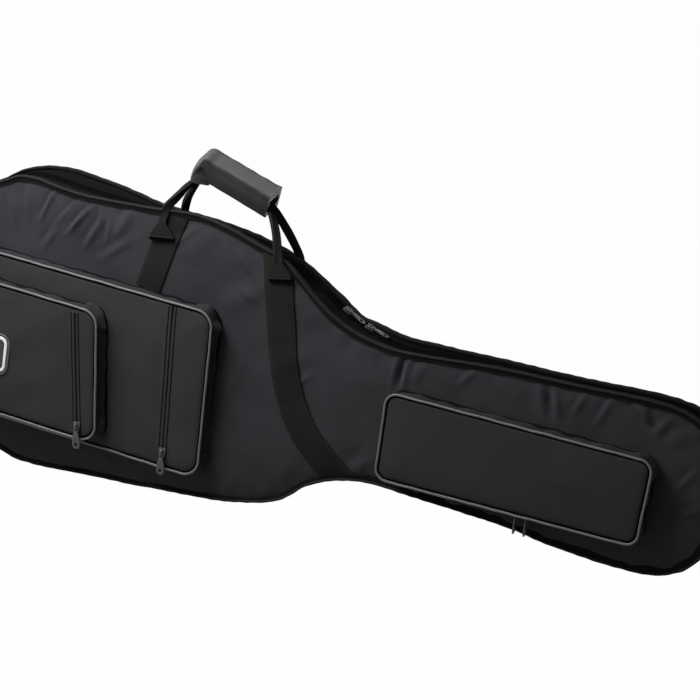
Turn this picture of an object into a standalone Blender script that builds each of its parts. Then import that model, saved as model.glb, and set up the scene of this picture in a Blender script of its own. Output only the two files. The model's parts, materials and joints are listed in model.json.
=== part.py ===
# Padded gig bag for an electric guitar, upright as it hangs from its carry handle.
# Sizes below are in millimetres and the finished objects are in metres.
# +X runs to the head end, -Y is the front, +Z is the handle side, and the long axis lies at z = 0.

import math

import bmesh
import bpy
from mathutils import Matrix, Vector

for old in list(bpy.data.objects):
    bpy.data.objects.remove(old, do_unlink=True)

MM = 0.001

# Clearance between two pieces that are sewn to, or lie on, one another
GAP = 0.35

# Half outline of the bag from the body end to the waist, as distance along the axis and half width
BODY_SIDE = [(-560, 40), (-552, 82), (-536, 115), (-510, 144), (-475, 166), (-430, 178), (-380, 181),
             (-300, 180), (-215, 177), (-160, 172), (-118, 163.5), (-85, 152.5), (-55, 139)]
# Circular hollow of the waist, which the main zip's sliders follow
WAIST_CENTRE = (80, 269)
WAIST_RADIUS = 183
WAIST_SPAN = 37
# Half outline from the waist to the head end
HEAD_SIDE = [(140, 87.5), (200, 90), (260, 93), (320, 97), (370, 100), (405, 99), (430, 92.5),
             (450, 79), (463, 60), (471, 38), (475, 14)]

# Shells
FRONT_DEPTH = 22
REAR_DEPTH_BODY = 40
REAR_DEPTH_NECK = 20
TAPER_START = -60
TAPER_END = 60
RIM = 1.6
SKIN = 1.0
PADDING = 7.0

# Edge binding and main zip
BINDING_WIDTH = 9.0
BINDING_THICK = 2.4
BINDING_PROUD = 1.4
TAPE_WIDTH = 8.0
TAPE_THICK = 1.4
ZIP_HALF_GAP = 0.25
HINGE_FROM = -440
HINGE_TO = -165
HINGE_STRIP_WIDTH = 14

# Pockets as top left, top right, bottom right and bottom left corners
LARGE_CORNERS = [(-512, 85), (-158, 82), (-151, -127), (-512, -124)]
SMALL_CORNERS = [(-500, 50), (-300, 46), (-282, -115), (-500, -112)]
NECK_CORNERS = [(76, 39), (394, 43), (393, -55), (78, -64)]
LARGE_DEPTH = 30
SMALL_DEPTH = 24
NECK_DEPTH = 30
BODY_POCKET_RADIUS = 19
NECK_POCKET_RADIUS = 13
POCKET_WALL = 2.5
PIPING_RADIUS = 1.8
BADGE_CENTRE = (-450, -37)
BADGE_LENGTH = 80
BADGE_HEIGHT = 53
BADGE_RADIUS = 16
BADGE_THICK = 1.2

# Pocket zips, from the top end to the bottom end, and the neck pocket's from left to right
LARGE_ZIP = [(-210, 74), (-198, -117)]
SMALL_ZIP = [(-327, 40.5), (-305, -106)]
NECK_ZIP_START = 28
NECK_ZIP_END = 28
ZIP_SLOT_HALF = 3.4
ZIP_CHAIN_HALF = 2.9
ZIP_CHAIN_PROUD = 1.2
ZIP_TAPE_HALF = 9.0
ZIP_TAPE_THICK = 0.8

# Sliders and pullers
SLIDER_LENGTH = 12
SLIDER_HALF = 4.6
SLIDER_PLATE = 1.4
BRIDGE_HALF_LENGTH = 4.0
BRIDGE_HALF_WIDTH = 1.3
BRIDGE_BAR = 1.0
BRIDGE_CLEAR = 2.2
PULL_LENGTH = 25.5
PULL_HALF = 3.4
PULL_THICK = 1.3
PULL_WINDOW = 4.6
NECK_SLIDER_SPACING = 13
NECK_SLIDER_X = 255
MAIN_LEFT_ANGLE = 28.7
MAIN_PULL_CLEAR = 2.0

# Carry handle
# The grip falls in a straight line to the right of its bend and curls down to the left of it
GRIP_LEFT = -230
GRIP_RIGHT = -124
GRIP_BEND = (-200, 237)
GRIP_FALL = 0.3
GRIP_CURL_RADIUS = 20.8
GRIP_Y = 4.5
GRIP_TILT = 25
GRIP_HALF_DEPTH = 13
GRIP_HALF_HEIGHT = 16
GRIP_END_HALF_HEIGHT = 10
FLAP_THICK = 3.0
TAB_THICK = 4.5
TAB_INSET = 0.4
LOOP_WIDTH = 14
LOOP_END_WIDTH = 22
LOOP_THICK = 3.2
LOOP_STEP = 4.5
LOOP_CLEAR = 2
# The loops' free ends, as length along the bag, distance in front of or behind the zip plane, and height.
# The sewn stretches, whose depth is None, lie flat on the panel's webbing.
FRONT_LOOP_LEFT = [(-257, None, 124), (-254.5, None, 148), (-251, None, 176), (-250, -25.2, 187), (-248, -17.5, 197),
                   (-245, -9, 205.5), (-241.5, -2.5, 213), (-238.6, 1, 219)]
FRONT_LOOP_RIGHT = [(-115.5, 0.5, 214.5), (-115, -3.5, 206.5), (-114, -8.5, 196), (-110.5, -15, 184),
                    (-105, -21.5, 172.5), (-99.5, None, 162), (-95.5, None, 146), (-92, None, 122)]
REAR_LOOP_LEFT = [(-258, None, 124), (-256, None, 148), (-253.5, None, 172), (-252, 44.8, 182.5), (-250, 40.2, 188.5),
                  (-246, 31, 193), (-241, 22, 200.5), (-236.5, 14, 208), (-232.6, 9, 214)]
REAR_LOOP_RIGHT = [(-119.5, 9.5, 206.5), (-115, 15.5, 198.5), (-110, 23.5, 188), (-104.5, 32.5, 177), (-100, 43.8, 168),
                   (-98.5, None, 158), (-96, None, 142), (-94, None, 122)]

# Webbing sewn to the panels
WEB_THICK = 1.6
LEFT_STRAP = [(-234, 166), (-241, 146), (-249, 120), (-257, 91)]
LEFT_STRAP_WIDTH = 34
RIGHT_STRAP = [(-95, 141.5), (-80, 85), (-66, 29), (-50, -11), (-30, -42), (-2, -69), (16, -82)]
RIGHT_STRAP_WIDTH = 37
REAR_STRAP_LEFT_X = -257
REAR_STRAP_RIGHT_X = -94
REAR_STRAP_TOP = 148
REAR_STRAP_RIGHT_TOP = 140
REAR_STRAP_BOTTOM = 84

# Shoulder straps on the back
PAD_THICK = 9
PAD_WIDTH = 58
PAD_PATH = [(-48, 36), (-110, 38), (-180, 43), (-250, 50), (-320, 60)]
YOKE_LENGTH = 56
YOKE_HEIGHT = 136
LADDER_LENGTH = 26
LADDER_WIDTH = 34
LADDER_THICK = 5
SHOULDER_WEB_WIDTH = 25
SHOULDER_WEB_LENGTH = 150
ANCHOR_LENGTH = 40

GRIP_MIDDLE = (GRIP_LEFT + GRIP_RIGHT) / 2
ORIGIN = Vector((GRIP_MIDDLE, GRIP_Y, GRIP_BEND[1] - GRIP_FALL * (GRIP_MIDDLE - GRIP_BEND[0])))


def look(name, colour, rough, metallic=0.0):
    material = bpy.data.materials.new(name)
    material.use_nodes = True
    shader = material.node_tree.nodes["Principled BSDF"]
    shader.inputs["Base Color"].default_value = (*colour, 1.0)
    shader.inputs["Roughness"].default_value = rough
    shader.inputs["Metallic"].default_value = metallic
    return material


NYLON = (0.035, 0.035, 0.042)
FOAM = (0.09, 0.09, 0.10)
TRIM = (0.02, 0.02, 0.02)
PIPING = (0.12, 0.12, 0.125)
METAL = (0.06, 0.06, 0.065)
WEBBING = (0.022, 0.022, 0.02)
VINYL = (0.10, 0.10, 0.105)


def make(name, points, faces, colour, rough=0.7, metallic=0.0, pivot=None):
    pivot = ORIGIN if pivot is None else Vector(pivot)
    mesh = bpy.data.meshes.new(name)
    mesh.from_pydata([(Vector(p) - pivot) * MM for p in points], [], faces)
    shape = bmesh.new()
    shape.from_mesh(mesh)
    bmesh.ops.recalc_face_normals(shape, faces=shape.faces)
    shape.to_mesh(mesh)
    shape.free()
    mesh.materials.append(look(name, colour, rough, metallic))
    piece = bpy.data.objects.new(name, mesh)
    piece.location = (pivot - ORIGIN) * MM
    bpy.context.collection.objects.link(piece)
    return piece


def combine(piece, tool, operation):
    cut = piece.modifiers.new("combine", "BOOLEAN")
    cut.operation = operation
    cut.solver = "EXACT"
    cut.object = tool
    graph = bpy.context.evaluated_depsgraph_get()
    result = bpy.data.meshes.new_from_object(piece.evaluated_get(graph))
    piece.modifiers.clear()
    piece.data = result
    bpy.data.objects.remove(tool, do_unlink=True)


def sweep(stations, closed=False):
    count = len(stations[0])
    points = [p for station in stations for p in station]
    faces = []
    spans = len(stations) if closed else len(stations) - 1
    for i in range(spans):
        a = i * count
        b = (i + 1) % len(stations) * count
        for k in range(count):
            n = (k + 1) % count
            faces.append((a + k, a + n, b + n, b + k))
    if not closed:
        last = (len(stations) - 1) * count
        faces.append(tuple(range(count - 1, -1, -1)))
        faces.append(tuple(range(last, last + count)))
    return points, faces


def smooth(points, steps):
    result = []
    for i in range(len(points) - 1):
        before = Vector(points[max(i - 1, 0)])
        a = Vector(points[i])
        b = Vector(points[i + 1])
        after = Vector(points[min(i + 2, len(points) - 1)])
        for s in range(steps):
            t = s / steps
            result.append(0.5 * (2 * a + (b - before) * t + (2 * before - 5 * a + 4 * b - after) * t * t
                                 + (3 * a - before - 3 * b + after) * t ** 3))
    result.append(Vector(points[-1]))
    return result


def half_outline():
    arc = []
    for k in range(9):
        angle = math.radians(WAIST_SPAN * (1 - k / 8))
        arc.append((WAIST_CENTRE[0] - WAIST_RADIUS * math.sin(angle),
                    WAIST_CENTRE[1] - WAIST_RADIUS * math.cos(angle)))
    body = smooth(BODY_SIDE + arc[:1], 2)
    head = smooth(arc[-1:] + HEAD_SIDE, 2)
    return [tuple(p) for p in body] + arc[1:-1] + [tuple(p) for p in head]


def offset_loop(loop, distance):
    result = []
    for i, p in enumerate(loop):
        before = Vector(loop[i - 1])
        here = Vector(p)
        after = Vector(loop[(i + 1) % len(loop)])
        a = (here - before).normalized()
        b = (after - here).normalized()
        normal = Vector((-a.y, a.x)) + Vector((-b.y, b.x))
        normal.normalize()
        reach = distance / max(normal.dot(Vector((-a.y, a.x))), 0.3)
        result.append(tuple(here + normal * reach))
    return result


HALF = half_outline()
# The loop runs along the handle side to the head and back along the lower side, so offsets point outwards
OUTLINE = HALF + [(x, -z) for x, z in reversed(HALF)]


def rear_depth(x):
    t = min(max((x - TAPER_START) / (TAPER_END - TAPER_START), 0), 1)
    return REAR_DEPTH_BODY + (REAR_DEPTH_NECK - REAR_DEPTH_BODY) * t * t * (3 - 2 * t)


def front_face(x):
    return -FRONT_DEPTH


def tray(name, inset, wall, rim_y, face_of, toward_rim, colour, rough):
    outer = offset_loop(OUTLINE, -inset)
    inner = offset_loop(OUTLINE, -inset - wall)
    count = len(outer)
    face_y = [face_of(x) for x, z in OUTLINE]
    points = [(x, rim_y, z) for x, z in outer]
    points += [(x, y + toward_rim * inset, z) for (x, z), y in zip(outer, face_y)]
    points += [(x, rim_y, z) for x, z in inner]
    points += [(x, y + toward_rim * (inset + wall), z) for (x, z), y in zip(inner, face_y)]
    faces = []
    for k in range(count):
        n = (k + 1) % count
        faces.append((k, n, count + n, count + k))
        faces.append((2 * count + k, 2 * count + n, 3 * count + n, 3 * count + k))
        faces.append((k, n, 2 * count + n, 2 * count + k))
    for k in range(count // 2 - 1):
        m = count - 1 - k
        for start in (count, 3 * count):
            faces.append((start + k, start + k + 1, start + m - 1, start + m))
    return make(name, points, faces, colour, rough)


def band(name, loop, low, high, y_of, colour, rough, closed=True):
    inner = offset_loop(OUTLINE, low)
    outer = offset_loop(OUTLINE, high)
    stations = []
    for k in loop:
        y0, y1 = y_of(OUTLINE[k][0])
        stations.append([(outer[k][0], y0, outer[k][1]), (outer[k][0], y1, outer[k][1]),
                         (inner[k][0], y1, inner[k][1]), (inner[k][0], y0, inner[k][1])])
    points, faces = sweep(stations, closed)
    return make(name, points, faces, colour, rough)


def rounded(corners, radius, steps=4):
    result = []
    for i, corner in enumerate(corners):
        here = Vector(corner)
        a = (Vector(corners[i - 1]) - here).normalized()
        b = (Vector(corners[(i + 1) % len(corners)]) - here).normalized()
        half = a.angle(b) / 2
        centre = here + (a + b).normalized() * radius / math.sin(half)
        start = here + a * radius / math.tan(half) - centre
        end = here + b * radius / math.tan(half) - centre
        for s in range(steps + 1):
            way = start.slerp(end, s / steps) if s not in (0, steps) else (start if s == 0 else end)
            result.append(tuple(centre + way.normalized() * radius))
    return result


def pocket(name, corners, radius, base_y, depth):
    outer = rounded(corners, radius)
    inner = offset_loop(outer, -POCKET_WALL)
    count = len(outer)
    face_y = base_y - depth
    points = [(x, base_y, z) for x, z in outer] + [(x, face_y, z) for x, z in outer]
    points += [(x, base_y, z) for x, z in inner] + [(x, face_y + POCKET_WALL, z) for x, z in inner]
    faces = [tuple(range(count, 2 * count)), tuple(range(3 * count, 4 * count))]
    for k in range(count):
        n = (k + 1) % count
        faces.append((k, n, count + n, count + k))
        faces.append((2 * count + k, 2 * count + n, 3 * count + n, 3 * count + k))
        faces.append((k, n, 2 * count + n, 2 * count + k))
    return make(name, points, faces, NYLON, 0.6)


def piping(name, corners, radius, face_y):
    loop = offset_loop(rounded(corners, radius), PIPING_RADIUS + GAP)
    stations = []
    for i, p in enumerate(loop):
        here = Vector(p)
        along = (Vector(loop[(i + 1) % len(loop)]) - Vector(loop[i - 1])).normalized()
        out = Vector((-along.y, along.x))
        section = []
        for s in range(6):
            angle = math.radians(60 * s + 30)
            spot = here + out * PIPING_RADIUS * math.cos(angle)
            section.append((spot.x, face_y + PIPING_RADIUS * 0.6 + PIPING_RADIUS * math.sin(angle), spot.y))
        stations.append(section)
    points, faces = sweep(stations, True)
    return make(name, points, faces, PIPING, 0.45)


class Zip:
    # A straight zip set in a wall: it starts at a point on the wall's outer face and runs along a direction
    def __init__(self, start, end, normal):
        self.start = Vector(start)
        self.end = Vector(end)
        self.along = (self.end - self.start).normalized()
        self.normal = Vector(normal).normalized()
        self.across = self.normal.cross(self.along).normalized()
        self.length = (self.end - self.start).length

    def at(self, along, across, out):
        return self.start + self.along * along + self.across * across + self.normal * out

    def slot(self):
        section = [(-ZIP_SLOT_HALF, -POCKET_WALL - 1), (ZIP_SLOT_HALF, -POCKET_WALL - 1),
                   (ZIP_SLOT_HALF, 1), (-ZIP_SLOT_HALF, 1)]
        ends = (-GAP, self.length + GAP)
        points, faces = sweep([[self.at(a, w, h) for w, h in section] for a in ends])
        return make("slot", points, faces, TRIM)

    def chain(self, name):
        under = -POCKET_WALL - GAP
        section = [(-ZIP_TAPE_HALF, under - ZIP_TAPE_THICK), (ZIP_TAPE_HALF, under - ZIP_TAPE_THICK),
                   (ZIP_TAPE_HALF, under), (ZIP_CHAIN_HALF, under), (ZIP_CHAIN_HALF, ZIP_CHAIN_PROUD),
                   (-ZIP_CHAIN_HALF, ZIP_CHAIN_PROUD), (-ZIP_CHAIN_HALF, under), (-ZIP_TAPE_HALF, under)]
        points, faces = sweep([[self.at(a, w, h) for w, h in section] for a in (0, self.length)])
        return make(name, points, faces, TRIM, 0.5)


def slider(name, centre, along, normal, plate_low, flange_low, flange_sides, pivot=None):
    # The saddle straddles the zip chain, and its bridge holds the puller
    along = Vector(along).normalized()
    normal = Vector(normal).normalized()
    across = normal.cross(along).normalized()
    centre = Vector(centre)

    def at(a, w, h):
        return centre + along * a + across * w + normal * h

    plate_high = plate_low + SLIDER_PLATE
    flange = ZIP_CHAIN_HALF + GAP + 0.15
    section = [(-SLIDER_HALF, plate_high), (-SLIDER_HALF, flange_low if -1 in flange_sides else plate_low)]
    if -1 in flange_sides:
        section += [(-flange, flange_low), (-flange, plate_low)]
    if 1 in flange_sides:
        section += [(flange, plate_low), (flange, flange_low)]
    section += [(SLIDER_HALF, flange_low if 1 in flange_sides else plate_low), (SLIDER_HALF, plate_high)]
    ends = (-SLIDER_LENGTH / 2, SLIDER_LENGTH / 2)
    points, faces = sweep([[at(a, w, h) for w, h in section] for a in ends])
    piece = make(name, points, faces, METAL, 0.35, 0.9, pivot if pivot else centre)
    top = plate_high + BRIDGE_CLEAR
    reach = BRIDGE_HALF_LENGTH - BRIDGE_BAR
    arch = [(-BRIDGE_HALF_LENGTH, plate_high - 0.3), (-BRIDGE_HALF_LENGTH, top + BRIDGE_BAR),
            (BRIDGE_HALF_LENGTH, top + BRIDGE_BAR), (BRIDGE_HALF_LENGTH, plate_high - 0.3),
            (reach, plate_high - 0.3), (reach, top), (-reach, top), (-reach, plate_high - 0.3)]
    sides = (-BRIDGE_HALF_WIDTH, BRIDGE_HALF_WIDTH)
    points, faces = sweep([[at(a, w, h) for a, h in arch] for w in sides])
    combine(piece, make("bridge", points, faces, METAL, pivot=pivot if pivot else centre), "UNION")
    return centre + normal * (plate_high + BRIDGE_CLEAR / 2)


def puller(name, pivot, along, normal):
    along = Vector(along).normalized()
    normal = Vector(normal).normalized()
    across = normal.cross(along).normalized()
    half_bar = PULL_THICK / 2
    far = half_bar + PULL_WINDOW
    window = BRIDGE_HALF_WIDTH + 0.7
    flat = [(-half_bar, -PULL_HALF), (-half_bar, PULL_HALF), (far + 0.5, PULL_HALF),
            (PULL_LENGTH - 1.5, PULL_HALF + 0.6), (PULL_LENGTH, PULL_HALF - 0.9),
            (PULL_LENGTH, 0.9 - PULL_HALF), (PULL_LENGTH - 1.5, -PULL_HALF - 0.6), (far + 0.5, -PULL_HALF),
            (half_bar, -window), (half_bar, window), (far, window), (far, -window)]
    points = []
    for side in (-half_bar, half_bar):
        points += [pivot + along * a + across * w + normal * side for a, w in flat]
    faces = []
    for start in (0, 12):
        for face in ((0, 1, 9, 8), (1, 2, 10, 9), (7, 0, 8, 11), (10, 11, 7, 2), (2, 3, 4, 5, 6, 7)):
            faces.append(tuple(start + k for k in face))
    for k in range(8):
        faces.append((k, (k + 1) % 8, 12 + (k + 1) % 8, 12 + k))
    for k in range(4):
        faces.append((8 + k, 8 + (k + 1) % 4, 20 + (k + 1) % 4, 20 + k))
    return make(name, points, faces, METAL, 0.35, 0.9, pivot)


def flat_strap(name, path, width, near_y, far_y, colour=WEBBING, mirror=1):
    # A strip in the plane of the bag, with its two faces at the given depths
    line = smooth(path, 3)
    stations = []
    for i, here in enumerate(line):
        along = (line[min(i + 1, len(line) - 1)] - line[max(i - 1, 0)]).normalized()
        side = Vector((-along.y, along.x)) * width / 2
        a = here + side
        b = here - side
        stations.append([(a.x, near_y, a.y * mirror), (a.x, far_y, a.y * mirror),
                         (b.x, far_y, b.y * mirror), (b.x, near_y, b.y * mirror)])
    points, faces = sweep(stations)
    return make(name, points, faces, colour, 0.85)


def block(name, centre, size, colour, rough=0.7):
    cx, cy, cz = centre
    sx, sy, sz = (s / 2 for s in size)
    stations = []
    for y in (cy - sy, cy + sy):
        stations.append([(cx - sx, y, cz - sz), (cx + sx, y, cz - sz), (cx + sx, y, cz + sz), (cx - sx, y, cz + sz)])
    points, faces = sweep(stations)
    return make(name, points, faces, colour, rough)


# Shells and their padding
tray("rear_shell", 0, SKIN, RIM, rear_depth, -1, NYLON, 0.6)
tray("rear_padding", SKIN + GAP, PADDING, RIM, rear_depth, -1, FOAM, 0.9)
tray("front_shell", 0, SKIN, -RIM, front_face, 1, NYLON, 0.6)
tray("front_padding", SKIN + GAP, PADDING, -RIM, front_face, 1, FOAM, 0.9)

# Edge bindings all round
EVERY = list(range(len(OUTLINE)))
BINDING_LOW = GAP
BINDING_HIGH = GAP + BINDING_THICK


def front_binding_y(x):
    return -FRONT_DEPTH - BINDING_PROUD, -FRONT_DEPTH - BINDING_PROUD + BINDING_WIDTH


def rear_binding_y(x):
    return rear_depth(x) + BINDING_PROUD - BINDING_WIDTH, rear_depth(x) + BINDING_PROUD


band("front_binding", EVERY, BINDING_LOW, BINDING_HIGH, front_binding_y, TRIM, 0.5)
band("rear_binding", EVERY, BINDING_LOW, BINDING_HIGH, rear_binding_y, TRIM, 0.5)

# Main zip: its two halves run from one end of the cloth hinge round the bag to the other end
on_hinge = [k for k, (x, z) in enumerate(OUTLINE) if z < 0 and HINGE_FROM < x < HINGE_TO]
zip_run = list(range(max(on_hinge) + 2, len(OUTLINE))) + list(range(0, min(on_hinge) - 1))
TAPE_LOW = GAP
TAPE_HIGH = GAP + TAPE_THICK
band("front_zip_half", zip_run, TAPE_LOW, TAPE_HIGH, lambda x: (-TAPE_WIDTH, -ZIP_HALF_GAP), TRIM, 0.5, False)
band("rear_zip_half", zip_run, TAPE_LOW, TAPE_HIGH, lambda x: (ZIP_HALF_GAP, TAPE_WIDTH), TRIM, 0.5, False)
band("hinge_gusset", sorted(on_hinge), TAPE_LOW, TAPE_HIGH, lambda x: (ZIP_HALF_GAP, HINGE_STRIP_WIDTH), NYLON, 0.7,
     False)
HINGE_LINE = Vector(((HINGE_FROM + HINGE_TO) / 2, 0, min(z for x, z in OUTLINE) - BINDING_HIGH))
bpy.data.objects["front_shell"].data.transform(Matrix.Translation((ORIGIN - HINGE_LINE) * MM))
bpy.data.objects["front_shell"].location = (HINGE_LINE - ORIGIN) * MM

# Main zip sliders ride the circular hollow of the waist, whose centre lies outside the bag
WAIST_AXIS = Vector((WAIST_CENTRE[0], 0, WAIST_CENTRE[1]))
MAIN_SPACING = PULL_LENGTH + SLIDER_LENGTH / 2 + MAIN_PULL_CLEAR
MAIN_RIGHT_ANGLE = MAIN_LEFT_ANGLE - math.degrees(MAIN_SPACING / WAIST_RADIUS)
for side, angle in (("left", MAIN_LEFT_ANGLE), ("right", MAIN_RIGHT_ANGLE)):
    out = Vector((math.sin(math.radians(angle)), 0, math.cos(math.radians(angle))))
    along = Vector((math.cos(math.radians(angle)), 0, -math.sin(math.radians(angle))))
    spot = WAIST_AXIS - out * WAIST_RADIUS
    across_sign = 1 if out.cross(along).y > 0 else -1
    pivot = slider("main_slider_" + side, spot, along, out, TAPE_HIGH + GAP + 0.2, GAP, (), WAIST_AXIS)
    puller("main_puller_" + side, pivot, along, out)

# Pockets
large_base = -FRONT_DEPTH - GAP
large_face = large_base - LARGE_DEPTH
small_base = large_face - GAP
small_face = small_base - SMALL_DEPTH
neck_base = -FRONT_DEPTH - GAP
neck_face = neck_base - NECK_DEPTH
large = pocket("large_pocket", LARGE_CORNERS, BODY_POCKET_RADIUS, large_base, LARGE_DEPTH)
small = pocket("small_pocket", SMALL_CORNERS, BODY_POCKET_RADIUS, small_base, SMALL_DEPTH)
neck = pocket("neck_pocket", NECK_CORNERS, NECK_POCKET_RADIUS, neck_base, NECK_DEPTH)
piping("large_piping", LARGE_CORNERS, BODY_POCKET_RADIUS, large_face)
piping("small_piping", SMALL_CORNERS, BODY_POCKET_RADIUS, small_face)
piping("neck_piping", NECK_CORNERS, NECK_POCKET_RADIUS, neck_face)

# Upright zips in the faces of the two body pockets, each with its slider run down to the closed end
for name, piece, line, face_y in (("large", large, LARGE_ZIP, large_face), ("small", small, SMALL_ZIP, small_face)):
    (x0, z0), (x1, z1) = line
    track = Zip((x0, face_y, z0), (x1, face_y, z1), (0, -1, 0))
    combine(piece, track.slot(), "DIFFERENCE")
    track.chain(name + "_zip")
    spot = track.at(track.length - SLIDER_LENGTH / 2, 0, 0)
    pivot = slider(name + "_slider", spot, track.along, track.normal, ZIP_CHAIN_PROUD + GAP, GAP, (-1, 1))
    puller(name + "_puller", pivot, track.along, track.normal)

# Zip along the lower wall of the neck pocket, with two sliders that meet
low_left = Vector((NECK_CORNERS[3][0], 0, NECK_CORNERS[3][1]))
low_right = Vector((NECK_CORNERS[2][0], 0, NECK_CORNERS[2][1]))
run = (low_right - low_left).normalized()
down = Vector((run.z, 0, -run.x))
mid_y = Vector((0, neck_base - NECK_DEPTH / 2, 0))
track = Zip(low_left + run * NECK_ZIP_START + mid_y, low_right - run * NECK_ZIP_END + mid_y, down)
combine(neck, track.slot(), "DIFFERENCE")
track.chain("neck_zip")
middle = (NECK_SLIDER_X - track.start.x) / run.x
for side, shift in (("left", -0.5), ("right", 0.5)):
    spot = track.at(middle + shift * NECK_SLIDER_SPACING, 0, 0)
    pivot = slider("neck_slider_" + side, spot, run, down, ZIP_CHAIN_PROUD + GAP, GAP, (-1, 1))
    puller("neck_puller_" + side, pivot, down, run)

# Blank badge patch on the small pocket
bx, bz = BADGE_CENTRE
hx, hz = BADGE_LENGTH / 2, BADGE_HEIGHT / 2
badge = rounded([(bx - hx, bz + hz), (bx + hx, bz + hz), (bx + hx, bz - hz), (bx - hx, bz - hz)], BADGE_RADIUS)
badge_high = small_face - GAP
points, faces = sweep([[(x, y, z) for x, z in badge] for y in (badge_high - BADGE_THICK, badge_high)])
make("badge_patch", points, faces, (0.03, 0.03, 0.03), 0.4)

# Webbing on the front panel
front_web = -FRONT_DEPTH - GAP
flat_strap("front_strap_left", LEFT_STRAP, LEFT_STRAP_WIDTH, front_web - WEB_THICK, front_web)
flat_strap("front_strap_right", RIGHT_STRAP, RIGHT_STRAP_WIDTH, front_web - WEB_THICK, front_web)

# Webbing on the back panel
rear_web = REAR_DEPTH_BODY + GAP
flat_strap("rear_strap_left", [(REAR_STRAP_LEFT_X, REAR_STRAP_TOP), (REAR_STRAP_LEFT_X, REAR_STRAP_BOTTOM)],
           LEFT_STRAP_WIDTH, rear_web, rear_web + WEB_THICK)
flat_strap("rear_strap_right", [(REAR_STRAP_RIGHT_X, REAR_STRAP_RIGHT_TOP), (REAR_STRAP_RIGHT_X, REAR_STRAP_BOTTOM)],
           RIGHT_STRAP_WIDTH, rear_web, rear_web + WEB_THICK)


# Carry handle: both webbing loops pass through one padded wrap with a front flap
def grip_frame(x):
    past_bend = max(GRIP_BEND[0] - x, 0)
    rise = GRIP_BEND[1] - GRIP_FALL * (x - GRIP_BEND[0]) - past_bend ** 2 / (2 * GRIP_CURL_RADIUS)
    slope = past_bend / GRIP_CURL_RADIUS - GRIP_FALL
    normal = Vector((-slope, 0, 1)).normalized()
    lean = math.radians(GRIP_TILT)
    up = normal * math.cos(lean) + Vector((0, -math.sin(lean), 0))
    back = Vector((0, math.cos(lean), 0)) + normal * math.sin(lean)
    return Vector((x, GRIP_Y, rise)), back, up


def grip_point(x, p, q):
    centre, back, up = grip_frame(x)
    return centre + back * p + up * q


def half_height(x):
    # The wrap is drawn in towards its left end
    share = min(max((x - GRIP_LEFT) / (GRIP_BEND[0] - GRIP_LEFT), 0), 1)
    return GRIP_END_HALF_HEIGHT + (GRIP_HALF_HEIGHT - GRIP_END_HALF_HEIGHT) * share


BENT = [GRIP_LEFT + (GRIP_BEND[0] - GRIP_LEFT) * k / 5 for k in range(5)]
STRAIGHT = [GRIP_BEND[0] + (GRIP_RIGHT - GRIP_BEND[0]) * k / 3 for k in range(4)]
GRIP_STATIONS = BENT + STRAIGHT
LOOP_STATIONS = [GRIP_LEFT - LOOP_CLEAR] + GRIP_STATIONS + [GRIP_RIGHT + LOOP_CLEAR]
flap_back = FLAP_THICK - GRIP_HALF_DEPTH
open_edge = flap_back + GAP
inner_back = LOOP_WIDTH / 2 + GAP
inner_high = LOOP_STEP + LOOP_THICK / 2 + GAP


def wrap_section(x):
    high = half_height(x)
    section = [(open_edge, high), (GRIP_HALF_DEPTH, high), (GRIP_HALF_DEPTH, -high), (open_edge, -high),
               (open_edge, -inner_high), (inner_back, -inner_high), (inner_back, inner_high), (open_edge, inner_high)]
    return [grip_point(x, p, q) for p, q in section]


def front_section(x, near, far, inset):
    # An upright wall in front of the loops
    high = half_height(x) - inset
    return [grip_point(x, p, q) for p, q in ((near, high), (far, high), (far, -high), (near, -high))]


points, faces = sweep([wrap_section(x) for x in GRIP_STATIONS])
wrap = make("handle_wrap", points, faces, VINYL, 0.5)
# The bent end is closed at the front, and the flap closes the straight stretch beside it
tab_back = TAB_THICK - GRIP_HALF_DEPTH
points, faces = sweep([front_section(x, -GRIP_HALF_DEPTH, tab_back, TAB_INSET) for x in BENT + [GRIP_BEND[0] - GAP]])
combine(wrap, make("handle_tab", points, faces, VINYL, 0.5), "UNION")
points, faces = sweep([front_section(x, -GRIP_HALF_DEPTH, flap_back, 0) for x in STRAIGHT])
FLAP_LINE = grip_point((GRIP_BEND[0] + GRIP_RIGHT) / 2, -GRIP_HALF_DEPTH, GRIP_HALF_HEIGHT)
make("handle_flap", points, faces, VINYL, 0.5, 0.0, FLAP_LINE)


def loop(name, left, right, step, sewn_y):
    inside = [grip_point(x, 0, step) for x in LOOP_STATIONS]
    left = [Vector((x, sewn_y if y is None else y, z)) for x, y, z in left]
    right = [Vector((x, sewn_y if y is None else y, z)) for x, y, z in right]
    line = left + inside + right
    turn = [Vector((1, 0, 0))] * 3
    for k in range(3, len(left)):
        t = (k - 2) / (len(left) - 2)
        turn.append(Vector((1 - t, t, 0)))
    turn += [grip_frame(x)[1] for x in LOOP_STATIONS]
    for k in range(len(right) - 3):
        t = 1 - (k + 1) / (len(right) - 2)
        turn.append(Vector((1 - t, t, 0)))
    turn += [Vector((1, 0, 0))] * 3
    stations = []
    for i, here in enumerate(line):
        along = (line[min(i + 1, len(line) - 1)] - line[max(i - 1, 0)]).normalized()
        if len(left) <= i < len(left) + len(inside):
            centre, back, up = grip_frame(LOOP_STATIONS[i - len(left)])
            along = back.cross(up)
        wide = (turn[i] - along * turn[i].dot(along)).normalized()
        thick = along.cross(wide)
        width = LOOP_END_WIDTH if i in (0, len(line) - 1) else LOOP_WIDTH
        stations.append([here + wide * w * width / 2 + thick * t * LOOP_THICK / 2
                         for w, t in ((1, 1), (1, -1), (-1, -1), (-1, 1))])
    points, faces = sweep(stations)
    make(name, points, faces, WEBBING, 0.85)


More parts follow.
